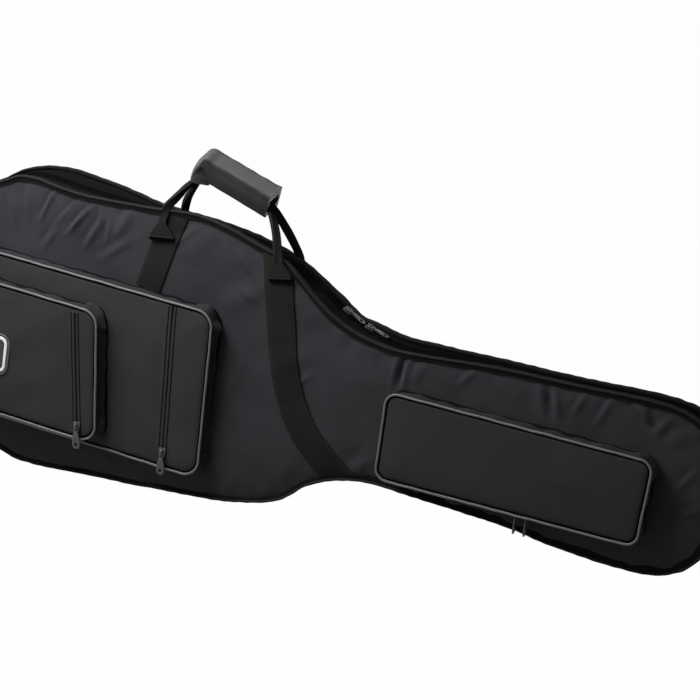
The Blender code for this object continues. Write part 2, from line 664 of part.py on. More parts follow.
front_y = front_web - WEB_THICK - GAP - LOOP_THICK / 2
loop("front_handle_loop", FRONT_LOOP_LEFT, FRONT_LOOP_RIGHT, LOOP_STEP, front_y)
rear_y = rear_web + WEB_THICK + GAP + LOOP_THICK / 2
loop("rear_handle_loop", REAR_LOOP_LEFT, REAR_LOOP_RIGHT, -LOOP_STEP, rear_y)

# Shoulder straps, drawn up flat against the back
yoke_near = REAR_DEPTH_BODY + GAP
yoke_far = yoke_near + WEB_THICK
pad_near = yoke_far + GAP
pad_far = pad_near + PAD_THICK
yoke_x = PAD_PATH[0][0] - YOKE_LENGTH / 2
block("strap_yoke", (yoke_x, (yoke_near + yoke_far) / 2, 0), (YOKE_LENGTH, WEB_THICK, YOKE_HEIGHT), WEBBING)
for side, mirror in (("upper", 1), ("lower", -1)):
    flat_strap("shoulder_pad_" + side, PAD_PATH, PAD_WIDTH, pad_near, pad_far, NYLON, mirror)
    line = smooth(PAD_PATH, 3)
    end = line[-1]
    way = (line[-1] - line[-2]).normalized()
    ladder_near = pad_near + (PAD_THICK - LADDER_THICK) / 2
    flat_strap("strap_buckle_" + side, [end + way * GAP, end + way * (GAP + LADDER_LENGTH)], LADDER_WIDTH,
               ladder_near, ladder_near + LADDER_THICK, TRIM, mirror)
    web_start = end + way * (2 * GAP + LADDER_LENGTH)
    far = web_start + way * SHOULDER_WEB_LENGTH
    flat_strap("shoulder_web_" + side, [web_start, far], SHOULDER_WEB_WIDTH,
               ladder_near, ladder_near + WEB_THICK, WEBBING, mirror)
    flat_strap("strap_anchor_" + side, [far - way * ANCHOR_LENGTH, far], LADDER_WIDTH,
               yoke_near, ladder_near - GAP, NYLON, mirror)
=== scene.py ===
# Looks of the padded gig bag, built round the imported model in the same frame.
# Sizes are in millimetres in the bag's own frame: the long axis lies at z = 0 and the main zip at y = 0.
# +X runs to the head end, -Y is the front and +Z is the handle side.

import json
import math

import bmesh
import bpy
import numpy as np
from mathutils import Matrix, Vector

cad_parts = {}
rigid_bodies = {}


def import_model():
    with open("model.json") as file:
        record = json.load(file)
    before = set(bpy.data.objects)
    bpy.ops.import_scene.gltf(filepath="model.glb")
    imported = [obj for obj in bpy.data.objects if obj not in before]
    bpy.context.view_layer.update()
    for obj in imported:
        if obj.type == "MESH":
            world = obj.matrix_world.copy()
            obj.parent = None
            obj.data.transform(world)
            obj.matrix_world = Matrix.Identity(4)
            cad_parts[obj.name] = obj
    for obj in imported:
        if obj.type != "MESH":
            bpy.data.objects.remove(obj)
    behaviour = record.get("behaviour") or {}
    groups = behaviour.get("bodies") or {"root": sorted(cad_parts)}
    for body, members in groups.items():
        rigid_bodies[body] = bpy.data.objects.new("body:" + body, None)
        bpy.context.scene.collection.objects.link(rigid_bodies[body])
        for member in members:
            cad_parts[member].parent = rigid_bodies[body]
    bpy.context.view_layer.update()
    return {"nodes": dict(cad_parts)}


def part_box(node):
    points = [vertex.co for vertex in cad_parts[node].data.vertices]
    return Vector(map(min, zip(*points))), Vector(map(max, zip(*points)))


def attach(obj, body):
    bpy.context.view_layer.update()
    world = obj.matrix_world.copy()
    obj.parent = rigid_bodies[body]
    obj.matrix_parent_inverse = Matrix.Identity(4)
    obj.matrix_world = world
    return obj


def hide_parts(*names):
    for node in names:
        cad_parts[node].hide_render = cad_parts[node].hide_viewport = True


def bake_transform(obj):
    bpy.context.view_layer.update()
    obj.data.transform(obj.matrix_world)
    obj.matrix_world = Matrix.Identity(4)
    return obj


for old in list(bpy.data.objects):
    bpy.data.objects.remove(old, do_unlink=True)
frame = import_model()
nodes = frame["nodes"]

MM = 0.001
# The model's origin, the middle of the grip, in the bag's own frame
GRIP_MIDDLE = np.array((-177.0, 4.5, 230.1))
# A point inside the bag, from which its walls face outwards
BAG_MIDDLE = (-100, 0, 0)

# Depths of the two halves
FRONT = -22.0
REAR_BODY = 40.0
REAR_NECK = 20.0
TAPER = (-60.0, 60.0)
LINING = 8.3
LOW_ROLL = 5.0

# How far the soft edges stand from the sewn outline, as place along the bag and shift outwards
FRONT_TOP = [(-580, 0), (-481, -4), (-455, 0), (-426, -3), (-404, -8), (-368, -11), (-340, -10), (-272, -4),
             (-205, 4.5), (-122, -0.5), (-91, 0.5), (-46, -11), (-13, -10), (54, -4.5), (97, -2), (194, 4.5),
             (313, 4), (409, 3.5), (490, 0)]
FRONT_LOW = [(-580, 0), (-441, 5), (-418, 7.5), (-375, 5.4), (-307, -1), (-249, -4), (-208, -7), (-167, -7.5),
             (-114, -5), (-51, 0.5), (-16, -5.5), (40, -5), (127, -3.5), (228, -5.5), (297, -2.5), (392, -5),
             (438, -6), (490, -4)]
REAR_TOP = [(-580, 0), (-447, 2), (-365, -4), (-320, -9), (-283, -14), (-200, -14), (-100, -14), (-51, -17),
            (-23, -12), (3, -9), (42, 0), (180, 2), (300, 0), (490, 0)]
REAR_LOW = [(-580, 0), (-420, 3), (-200, -4), (0, -4), (200, -4), (490, -2)]

# Folds in the front panel, each from one point to another with its half width and height
FRONT_FOLDS = [(-400, 173, -418, 124, 2.8, 2.2), (-348, 162, -379, 117, 2.8, 2.3),
               (-335, 160, -333, 138, 3.0, 1.7), (-332, 148, -352, 106, 3.8, 2.1),
               (-393, 122, -408, 92, 4, 1.5), (-295, 168, -312, 128, 6, 1.6),
               (-372, 160, -396, 124, 2.6, 1.1), (-360, 152, -372, 128, 2.4, 1.2),
               (-320, 150, -322, 118, 3.0, 1.3), (-440, 165, -432, 120, 4, 1.2),
               (-462, 150, -450, 105, 4, 1.1), (-290, 132, -330, 96, 5, 1.2),
               (-204, 168, -236, 138, 4, 1.0), (-150, 152, -120, 124, 4, 1.1),
               (-140, 110, -112, 96, 4, 0.9), (-60, 70, -90, 62, 4, 0.9), (-30, 30, -62, -4, 4, 0.9),
               (-120, 20, -136, -30, 5, 0.9), (300, 98, 290, 66, 3.5, 1.3), (332, 102, 318, 60, 3.5, 1.3),
               (170, 92, 150, 62, 4, 1.1), (440, 40, 420, 8, 4, 1.1), (452, -4, 428, -20, 5, 1.2),
               (416, -70, 396, -62, 5, 1.2), (-183, 172, -225, 120, 14, 1.2),
               (-101, 120, -160, 80, 12, 1.4), (-30, 60, -95, 10, 13, 1.1), (78, 82, 76, 38, 3.5, -2.2),
               (85.5, 78, 84, 40, 3.5, 2.0), (107, 80, 93, 50, 6, 1.2), (253, 95, 266, 54, 5, -2.0),
               (261, 94, 274, 56, 5, 1.6), (352, 100, 386, 78, 4.5, 1.8), (374, 101, 384, 72, 4, -1.8),
               (400, 93, 384, 66, 5, 1.8), (424, 80, 400, 60, 8, 1.3), (-140, -90, -95, -150, 12, 1.5),
               (60, -55, 30, -82, 8, 1.5), (430, -60, 404, -30, 9, 1.4)]

# Pockets as top left, top right, bottom right and bottom left corners, with the depths of base and face
LARGE = [(-512, 80), (-159, 75.5), (-151, -130), (-512, -124)]
SMALL = [(-500, 50), (-300, 46), (-282, -115), (-500, -112)]
NECK = [(76, 40), (394, 44), (393, -55), (78, -64)]
LARGE_DEPTHS = (-22.3, -52.35)
SMALL_DEPTHS = (-52.7, -76.7)
NECK_DEPTHS = (-22.3, -52.35)
BODY_RADIUS = 19
NECK_RADIUS = 13
PIPING_RADIUS = 1.4
LARGE_ZIP = [(-210, 74), (-198, -117)]
SMALL_ZIP = [(-327, 40.5), (-305, -106)]
NECK_ZIP_INSET = 28
NECK_SLIDER_X = 255
NECK_SLIDER_SPACING = 13
# Middle, length and height of the patch on the small pocket
BADGE = (-450, -37, 80, 53)
BADGE_RADIUS = 13
BADGE_LIFT = 3.0

# Zip sliders on the circular hollow of the waist
WAIST_CENTRE = (80, 269)
WAIST_RADIUS = 183
MAIN_LEFT_ANGLE = 28.7
SLIDER_RUN = (-32, 84)
SLIDER_SINK = 3.0
PULL_LENGTH = 25.5
# How much longer and wider the pullers on upright zips are
BODY_PULL_EXTRA = (2.5, 0.7)
SLIDER_LENGTH = 12
SLIDER_HALF = 4.6
SLIDER_LOW = 0.2
SLIDER_PLATE = 2.95
MAIN_LOW = 0.5
MAIN_PLATE = 3.7
BRIDGE_HALF_CLEAR = 1.1
# Section of the arch on a slider, as shares of its half width and of its half depth
ARCH_SECTION = [(1, 0.6), (0.8, 1), (-0.8, 1), (-1, 0.6), (-1, -0.6), (-0.8, -1), (0.8, -1), (1, -0.6)]
ARCH_HALF = 1.25
ARCH_DEEP = 0.45
STIRRUP_THICK = 1.25
TAG_THICK = 1.5

# Webbing and handle
LEFT_STRAP = [(-233, 188), (-238, 166), (-243.5, 143.5), (-250.5, 113), (-258.5, 78)]
LEFT_STRAP_WIDTH = 34
RIGHT_STRAP = [(-101, 170), (-95, 150), (-80, 85), (-66, 29), (-50, -11), (-30, -42), (-2, -69), (17, -83),
               (45, -103)]
RIGHT_STRAP_WIDTH = 37
REAR_STRAPS = [(-257, 148), (-94, 140)]
REAR_STRAP_END = 84
# Legs of the handle's webbing from the grip down to their sewn ends, where no depth means lying on the panel
FRONT_LEG_LEFT = [(-230, 3, 217), (-235.5, -4, 208.5), (-239.5, -11, 200), (-243.5, -18.5, 192),
                  (-247.5, -25.8, 184), (-249, None, 173), (-249.5, None, 163), (-248.5, None, 153),
                  (-247.3, None, 144.5)]
FRONT_LEG_RIGHT = [(-126, 2, 205), (-119, -3.5, 197), (-112.5, -9, 189), (-106, -15.5, 180),
                   (-100, -22.5, 169.5), (-95.5, -27, 159), (-92, None, 150), (-89, None, 141),
                   (-87, None, 132)]
REAR_LEG_LEFT = [(-229, 9, 212), (-237, 15, 200), (-244, 22, 189.5), (-250, 31, 179), (-254.5, 39, 169),
                 (-256.5, None, 158), (-257, None, 144), (-258, None, 124)]
REAR_LEG_RIGHT = [(-125, 8, 206), (-120, 13, 198), (-115, 18, 189), (-109, 24, 178), (-103, 31, 165.5),
                  (-98, 38, 153), (-95, 43, 143), (-94, None, 134), (-94, None, 120)]
# Middle line of the grip, bent down at its left end
GRIP_PATH = [(-227.5, 215.5), (-226.5, 223), (-222.5, 231), (-214, 236.8), (-203, 237.3), (-177, 230.1),
             (-150, 222), (-124, 214.2)]
GRIP_Y = 4.5
GRIP_TILT = 25
LEG_WIDTH = 10
# Thickness of the folded webbing, how much thinner it is at its sewn ends, and their height on the cloth
LOOP_THICK = 4.6
LOOP_THINNER = 2.2
LOOP_LIFT = 4.2
# Widths of the sewn ends, on the left and on the right
FRONT_END_WIDTHS = (33, 29)
REAR_END_WIDTHS = (24, 28)
# Section of flat webbing, as shares of its half width and of its half thickness
WEB_SECTION = [(-1, 0), (-0.985, 0.6), (-0.95, 1), (-0.6, 1), (-0.3, 1), (0, 1), (0.3, 1), (0.6, 1),
               (0.95, 1), (0.985, 0.6), (1, 0), (0.985, -0.6), (0.95, -1), (0.5, -1), (0, -1), (-0.5, -1),
               (-0.95, -1), (-0.985, -0.6)]
STRAP_THICK = 1.6
STRAP_LIFT = 0.3
# Sections of the grip's wrap, of the part that closes it at the bend and of its flap
WRAP_SECTION = [(-12.4, 16.2), (-4, 17.0), (6, 16.8), (13.2, 15.4), (13.6, 0), (13.0, -15.4), (-9.4, -16),
                (-9.4, -9), (9.4, -8), (9.5, 6.6), (-9.4, 6.6), (-12.4, 9)]
CLOSING_SECTION = [(-12.4, 16.0), (-13.4, 8), (-13.0, -4), (-10.0, -16.5), (-7.5, -15), (-10.0, -4),
                   (-10.4, 8), (-9.5, 14)]
FLAP_SECTION = [(-13.4, 15.8), (-10.6, 16.0), (-10.4, -16.8), (-13.6, -17.4), (-14.6, 0)]

# Shoulder straps, with heights above the back
BACK = REAR_BODY + 0.4
PAD_PATH = [(-48, 36), (-110, 38), (-180, 43), (-250, 50), (-320, 60)]
PAD_SECTION = [(-1, 0), (-0.985, 0.35), (-0.93, 0.55), (-0.8, 0.8), (-0.5, 0.97), (0, 1.03), (0.5, 0.97),
               (0.8, 0.8), (0.93, 0.55), (0.985, 0.35), (1, 0), (0.95, -0.45), (0.6, -0.6), (0, -0.6),
               (-0.6, -0.6), (-0.95, -0.45)]
PAD_HALF = 29
PAD_HEIGHT = 6.4
PAD_PLUMP = 5.0
CORD_PLACE = 28.4
CORD_HEIGHT = 6.6
CORD_SIZE = (2.2, 2.6)
PAD_SEAM = 23.5
PAD_SEAM_HEIGHT = 10.9
TAIL_FROM = 12
TAIL_TO = 176
TAIL_WIDTH = 25
TAIL_THICK = 1.5
PATCH_THICK = 1.8
ANCHOR_LENGTH = 40
ANCHOR_WIDTH = 34
YOKE_LENGTH = 56
YOKE_WIDTH = 136

# Edge tape: sections of the folded tape and of its bead, as distance outwards and distance into the bag
FOLDED_TAPE = [(-6.0, -0.3), (-5.4, -1.9), (-3.0, -2.0), (-0.4, -2.1), (1.6, -1.6), (2.5, 0.4), (2.7, 2.2),
               (2.2, 4.8), (0.6, 5.6), (-0.8, 4.2)]
BEAD_RADIUS = 1.75
BEAD = [(1.3 + BEAD_RADIUS * math.cos(turn), BEAD_RADIUS * math.sin(turn) - BEAD_RADIUS)
        for turn in np.linspace(0, 2 * math.pi, 10, endpoint=False)]
# Places along the bag and how much broader the tape is there along the bottom
TAPE_BROADER = [(-60, 140), (-2.4, 5.0)]
# Distance between the outline's points, which maps the tape's ribs
TAPE_STEP = 3.55

# Zips: teeth, coils, the stretch left free for the cloth hinge, and the lips of cloth over a pocket's zip
TOOTH_SIZE = (1.15, 2.6, 1.5)
TOOTH_PITCH = 2.3
COIL_SIZE = (0.62, 1.25, 0.75)
COIL_PITCH = 1.7
ZIP_ENDS = (-450, -155)
HINGE_ENDS = (-446, -158)
HINGE_FRONT = -12
HINGE_ACROSS = 26
LIP_SHAPE = [(0, -1.1), (0.3, -1.1), (0.6, 0.1), (1.6, 0.5), (3.2, 0.55), (4.1, 0.3), (4.5, -1.8),
             (5.2, -1.8), (5.7, 0.1), (6.4, 0.35), (7.5, 0.0)]
ZIP_STRIP = [-place for place, height in LIP_SHAPE[:0:-1]] + [place for place, height in LIP_SHAPE]
# Strip painted near black behind a pocket's piping as painted shade, as distance outwards and distance behind
# its face
GUTTER = [(-1.9, 1.0), (-1.3, 0.75), (-0.5, 0.75), (0.4, 1.0)]

# Stitches as pitch, length and thickness
EDGE_STITCH = (3.6, 2.6, 0.6)
STRAP_STITCH = (3.6, 2.6, 0.55)
POCKET_STITCH = (3.4, 2.4, 0.45)
LOOP_STITCH = (3.4, 2.5, 0.5)
SMALL_STITCH = (3.2, 2.4, 0.6)
FLAP_STITCH = (3.2, 2.4, 0.55)
TAIL_BAR_STITCH = (2.8, 2.2, 0.7)
LOOP_BAR_STITCH = (2.6, 2.2, 0.7)

# How finely shapes are made: points round the bag and round a plate, rows of a panel, steps of a corner,
# waves of unevenness, and points measured at a time
LOOP_COUNT = 720
PLATE_POINTS = 40
PANEL_ROWS = 150
ROUND_STEPS = 5
RIPPLE_WAVES = 16
BATCH = 2000
# Edges bent by more degrees than this look sharp
SHARP_ANGLE = 38
# Points closer than these are joined, between the parts of a panel and within one shape
MERGE = 0.02
WELD = 0.0001


# Numbers and lines
def metres(points):
    return (np.asarray(points, float) - GRIP_MIDDLE) * MM


def ease(t):
    t = np.clip(t, 0.0, 1.0)
    return t * t * (3 - 2 * t)


def inward(distance, reach):
    # Rises from nought at an edge towards one inside it
    return 1 - np.exp(-distance / reach)


def hump(place, middle, width):
    # Round hump of unit height
    return np.exp(-((place - middle) / width) ** 2)


def travel(line):
    # Distance from the start of a line to each of its points
    return np.concatenate([[0], np.cumsum(np.linalg.norm(np.diff(line, axis=0), axis=1))])


def at_places(want, known, values):
    # The values at the wanted places, read between the known ones
    return np.stack([np.interp(want, known, column) for column in np.transpose(values)], -1)


def left_of(way):
    # Flat direction to the left of each direction of travel
    return np.stack([-way[:, 1], way[:, 0]], 1)


def at_depth(flat, depth):
    # Points of a flat line, brought to a depth
    return np.stack([flat[:, 0], np.broadcast_to(depth, len(flat)), flat[:, 1]], 1)


def curve_through(points, count, closed=False):
    # A smooth line through the points, cut into equal steps
    p = np.asarray(points, float)
    if closed:
        known = np.vstack([p[-1:], p, p[:2]])
    else:
        known = np.vstack([2 * p[:1] - p[1:2], p, 2 * p[-1:] - p[-2:-1]])
    t = np.linspace(0, 1, 24, endpoint=False)[:, None]
    parts = []
    for i in range(1, len(known) - 2):
        a, b, c, d = known[i - 1:i + 3]
        parts.append(0.5 * (2 * b + (c - a) * t + (2 * a - 5 * b + 4 * c - d) * t ** 2
                            + (3 * b - a - 3 * c + d) * t ** 3))
    fine = np.vstack(parts + [known[-2:-1]])
    far = travel(fine)
    return at_places(np.linspace(0, far[-1], count, endpoint=not closed), far, fine)


def shift_line(points):
    line = curve_through(points, 300)
    return lambda x: np.interp(x, line[:, 0], line[:, 1])


def unit(vectors):
    vectors = np.asarray(vectors, float)
    return vectors / np.maximum(np.linalg.norm(vectors, axis=-1, keepdims=True), 1e-9)


def ways(line, closed=False):
    # Direction of travel at each point of a line
    if closed:
        return unit(np.roll(line, -1, 0) - np.roll(line, 1, 0))
    return unit(np.gradient(line, axis=0))


def ripples(x, z, wavelength, seed):
    # Even, seeded unevenness of about unit height
    dice = np.random.default_rng(seed)
    total = 0.0
    for turn, size, phase in zip(dice.uniform(0, math.pi, RIPPLE_WAVES), dice.uniform(0.7, 1.5, RIPPLE_WAVES),
                                 dice.uniform(0, 2 * math.pi, RIPPLE_WAVES)):
        along = x * math.cos(turn) + z * math.sin(turn)
        total = total + np.cos(2 * math.pi * along / (wavelength * size) + phase)
    return total * math.sqrt(2 / RIPPLE_WAVES) * 0.6


def fold_height(x, z, folds):
    total = np.zeros_like(x, float)
    for x0, z0, x1, z1, half_width, height in folds:
        dx, dz = x1 - x0, z1 - z0
        t = ((x - x0) * dx + (z - z0) * dz) / (dx * dx + dz * dz)
        near = np.clip(t, 0, 1)
        aside = ((x - x0) * dz - (z - z0) * dx) / math.hypot(dx, dz)
        past = (t - near) * math.hypot(dx, dz)
        reach = np.sin(np.clip(0.1 + 0.85 * near, 0, 1) * math.pi) * hump(past, 0, half_width)
        ridge = hump(aside, 0, half_width) - 0.5 * hump(aside, 1.9 * half_width, half_width)
        total += height * reach * ridge
    return total


# Outline of the sewn panels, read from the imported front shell
def half_outline():
    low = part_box("front_shell")[0].y
    found = set()
    for vertex in nodes["front_shell"].data.vertices:
        if vertex.co.y < low + 0.0003:
            x, z = vertex.co.x / MM + GRIP_MIDDLE[0], vertex.co.z / MM + GRIP_MIDDLE[2]
            found.add((round(x, 2), round(z, 2)))
    return np.array(sorted(p for p in found if p[1] > 0))


UPPER = half_outline()
OUTLINE = curve_through(np.vstack([UPPER, UPPER[::-1] * (1, -1)]), LOOP_COUNT, closed=True)
ALONG = ways(OUTLINE, closed=True)
OUTWARD = left_of(ALONG)
front_top = shift_line(FRONT_TOP)
front_low = shift_line(FRONT_LOW)
rear_top = shift_line(REAR_TOP)
rear_low = shift_line(REAR_LOW)


def zip_top(x):
    # The zip lies between the two edges, and follows the sliders' circle where they run
    aside = np.clip(x - WAIST_CENTRE[0], -WAIST_RADIUS, WAIST_RADIUS)
    level = np.sqrt(WAIST_RADIUS ** 2 - aside ** 2) - np.sqrt((WAIST_RADIUS + SLIDER_SINK) ** 2 - aside ** 2)
    share = ease((x - SLIDER_RUN[0] + 30) / 30) * ease((SLIDER_RUN[1] + 40 - x) / 40)
    return (front_top(x) + rear_top(x)) / 2 * (1 - share) + level * share


def zip_low(x):
    # It never hangs below the line of the hinge
    return np.minimum((front_low(x) + rear_low(x)) / 2, 0.5)


def edge_shift(x, z, rearness):
    # Shift at the front edge (0), at the zip (0.5), at the rear edge (1) or between them
    near = abs(1 - 2 * rearness)
    edge_top, edge_low = (front_top, front_low) if rearness < 0.5 else (rear_top, rear_low)
    top = edge_top(x) * near + zip_top(x) * (1 - near)
    low = edge_low(x) * near + zip_low(x) * (1 - near)
    return np.where(z > 0, top, -low) * ease(np.abs(z) / 40)


def rear_depth(x):
    t = ease((np.asarray(x, float) - TAPER[0]) / (TAPER[1] - TAPER[0]))
    return REAR_BODY + (REAR_NECK - REAR_BODY) * t


def ring(offset, depth, rearness):
    # The outline moved outwards, at a depth, with the sag of the front edge (0) or of the rear edge (1)
    flat = OUTLINE + OUTWARD * np.reshape(offset, (-1, 1))
    z = flat[:, 1] + edge_shift(flat[:, 0], flat[:, 1], rearness)
    return np.stack([flat[:, 0], np.broadcast_to(depth, z.shape), z], 1)


def distance_to(x, z, line):
    flat = np.stack([np.ravel(x), np.ravel(z)], 1)
    best = np.empty(len(flat))
    for start in range(0, len(flat), BATCH):
        part = flat[start:start + BATCH]
        gap = (part[:, None, 0] - line[None, :, 0]) ** 2 + (part[:, None, 1] - line[None, :, 1]) ** 2
        best[start:start + BATCH] = np.sqrt(gap.min(1))
    return best.reshape(np.shape(x))


FRONT_RIM = curve_through(ring(0, 0, 0)[:, [0, 2]], 2400, closed=True)
REAR_RIM = curve_through(ring(0, 0, 1)[:, [0, 2]], 2400, closed=True)


def front_surface(x, z):
    # Depth of the front panel's cloth
    d = distance_to(x, z, FRONT_RIM)
    y = FRONT + 0.8 - 2.4 * inward(d, 8) - 4.0 * inward(d, 60)
    y -= 1.2 * ripples(x, z, 110, seed=3) * inward(d, 40)
    y -= 1.1 * ripples(x, z, 32, seed=5) * np.exp(-d / 20) * inward(d, 5)
    y -= LOW_ROLL * inward(d, 30) * ease((40 - z) / 140)
    return y - 1.3 * fold_height(x, z, FRONT_FOLDS)


def rear_surface(x, z):
    d = distance_to(x, z, REAR_RIM)
    y = rear_depth(x) - 3.0 + 4.2 * inward(d, 11)
    y += 1.2 * ripples(x, z, 140, seed=11) * inward(d, 40)
    return y + 0.8 * ripples(x, z, 36, seed=12) * np.exp(-d / 22) * inward(d, 5)


# Meshes
def lengths(points, axis):
    step = np.linalg.norm(np.diff(points, axis=axis), axis=2)
    start = np.zeros_like(np.take(step, [0], axis))
    return np.concatenate([start, np.cumsum(step, axis)], axis)


def face_vectors(mesh, kind):
    # Normals or centres of all faces
    values = np.empty(len(mesh.polygons) * 3)
    mesh.polygons.foreach_get(kind, values)
    return values.reshape(-1, 3)


def weld(mesh):
    shape = bmesh.new()
    shape.from_mesh(mesh)
    bmesh.ops.remove_doubles(shape, verts=shape.verts, dist=WELD * MM)
    shape.to_mesh(mesh)
    shape.free()


def soften(shape, edges, offset, segments):
    bmesh.ops.bevel(shape, geom=edges, offset=offset, offset_type="OFFSET", affect="EDGES", segments=segments,
                    profile=0.5, material=-1)


def block(size):
    shape = bmesh.new()
    bmesh.ops.create_cube(shape, size=1.0)
    bmesh.ops.scale(shape, vec=size, verts=shape.verts)
    return shape


def pellet(size):
    # A small round body with few faces, for stitches and coils
    shape = bmesh.new()
    bmesh.ops.create_icosphere(shape, subdivisions=1, radius=1.0)
    bmesh.ops.scale(shape, vec=size, verts=shape.verts)
    return shape


def cloth(rows, finish, toward=None, uv=None):
    # A grid of cloth bent to the given points, rows by columns, with its true lengths as its map.
    # The finish is one number, or one for each strip between two rows.
    rows = np.asarray(rows, float)
    high, wide = rows.shape[:2]
    shape = bmesh.new()
    bmesh.ops.create_grid(shape, x_segments=wide - 1, y_segments=high - 1, size=1.0)
    mesh = bpy.data.meshes.new("cloth")
    shape.to_mesh(mesh)
    shape.free()
    points = metres(rows)
    mesh.vertices.foreach_set("co", points.reshape(-1))
    if uv is None:
        uv = np.stack([lengths(points, 1), lengths(points, 0)], 2)
    corners = np.empty(len(mesh.loops), np.int32)
    mesh.loops.foreach_get("vertex_index", corners)
    layer = mesh.uv_layers.new(name="cloth")
    layer.data.foreach_set("uv", np.reshape(uv, (-1, 2))[corners].reshape(-1))
    strips = np.broadcast_to(np.reshape(finish, (-1, 1)), (high - 1, wide - 1))
    mesh.polygons.foreach_set("material_index", strips.reshape(-1).astype(np.int32))
    mesh.update()
    if toward is not None and (face_vectors(mesh, "normal") @ np.asarray(toward, float)).sum() < 0:
        mesh.flip_normals()
    return mesh


def tube(rows, finish=0, uv=None, joined=False):
    # Closed sections swept along a line, with closed ends or with the last section joined to the first
    rows = np.asarray(rows, float)
    rows = np.concatenate([rows, rows[:, :1]], 1)
    if joined:
        rows = np.concatenate([rows, rows[:1]], 0)
    if uv is not None:
        uv = np.concatenate([uv, uv[:, :1]], 1)
    mesh = cloth(rows, finish, None, uv)
    shape = bmesh.new()
    shape.from_mesh(mesh)
    bmesh.ops.remove_doubles(shape, verts=shape.verts, dist=WELD * MM)
    if not joined:
        bmesh.ops.holes_fill(shape, edges=shape.edges)
        for face in shape.faces:
            face.material_index = finish
    bmesh.ops.recalc_face_normals(shape, faces=shape.faces)
    shape.to_mesh(mesh)
    shape.free()
    return mesh


def solid(shape, axes, origin):
    # A finished small shape in millimetres, turned to its axes and put at its place
    points = np.array([vertex.co for vertex in shape.verts]) @ axes
    bmesh.ops.recalc_face_normals(shape, faces=shape.faces)
    mesh = bpy.data.meshes.new("solid")
    shape.loops.layers.uv.new("cloth")
    shape.to_mesh(mesh)
    shape.free()
    mesh.vertices.foreach_set("co", metres(points + np.asarray(origin, float)).reshape(-1))
    mesh.update()
    return mesh


def copies(shape, origins, axes, finish):
    # Many copies of a small shape in millimetres, each with its own place and axes
    points = np.array([vertex.co for vertex in shape.verts])
    single = bpy.data.meshes.new("single")
    shape.to_mesh(single)
    shape.clear()
    for spot in origins:
        shape.from_mesh(single)
    bpy.data.meshes.remove(single)
    mesh = bpy.data.meshes.new("copies")
    shape.to_mesh(mesh)
    shape.free()
    spread = np.asarray(origins)[:, None, :] + np.einsum("nj,kji->kni", points, np.asarray(axes))
    mesh.vertices.foreach_set("co", metres(spread.reshape(-1, 3)).reshape(-1))
    mesh.uv_layers.new(name="cloth")
    mesh.polygons.foreach_set("material_index", np.full(len(mesh.polygons), finish, np.int32))
    mesh.update()
    return mesh


def piece(name, meshes, finishes, body, stands_for, merge=0.0):
    # One piece made of meshes, with its finishes, the body it rides on and the nodes it stands for
    shape = bmesh.new()
    for mesh in meshes:
        shape.from_mesh(mesh)
        bpy.data.meshes.remove(mesh)
    if merge:
        bmesh.ops.remove_doubles(shape, verts=shape.verts, dist=merge * MM)
    data = bpy.data.meshes.new(name)
    shape.to_mesh(data)
    shape.free()
    for finish in finishes:
        data.materials.append(finish)
    data.polygons.foreach_set("use_smooth", np.ones(len(data.polygons), bool))
    data.set_sharp_from_angle(angle=math.radians(SHARP_ANGLE))
    item = bpy.data.objects.new(name, data)
    bpy.context.scene.collection.objects.link(item)
    if body:
        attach(item, body)
    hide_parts(*stands_for)
    return item


def stitch_row(line, facing, stitch, finish):
    # A row of thread stitches along a line, lying on a surface that faces the given way
    pitch, length, thick = stitch
    line = np.asarray(line, float)
    far = travel(line)
    count = max(int(far[-1] / pitch), 1)
    want = (np.arange(count) + 0.5) * far[-1] / count
    spots = at_places(want, far, line)
    out = at_places(want, far, np.broadcast_to(np.asarray(facing, float), line.shape))
    way = at_places(want, far, ways(line))
    out = unit(out - way * (out * way).sum(1, keepdims=True))
    aside = np.cross(out, way)
    thread = pellet((length / 2, thick / 2, thick / 2.4))
    return copies(thread, spots, np.stack([unit(way), aside, out], 1), finish)


# Shader nodes
class Socket:
    # A socket that takes part in sums written as plain Python
    def __init__(self, board, link):
        self.board = board
        self.link = link

    def __add__(self, other):
        return self.board.maths("ADD", self, other)

    def __mul__(self, other):
        return self.board.maths("MULTIPLY", self, other)

    __radd__ = __add__
    __rmul__ = __mul__


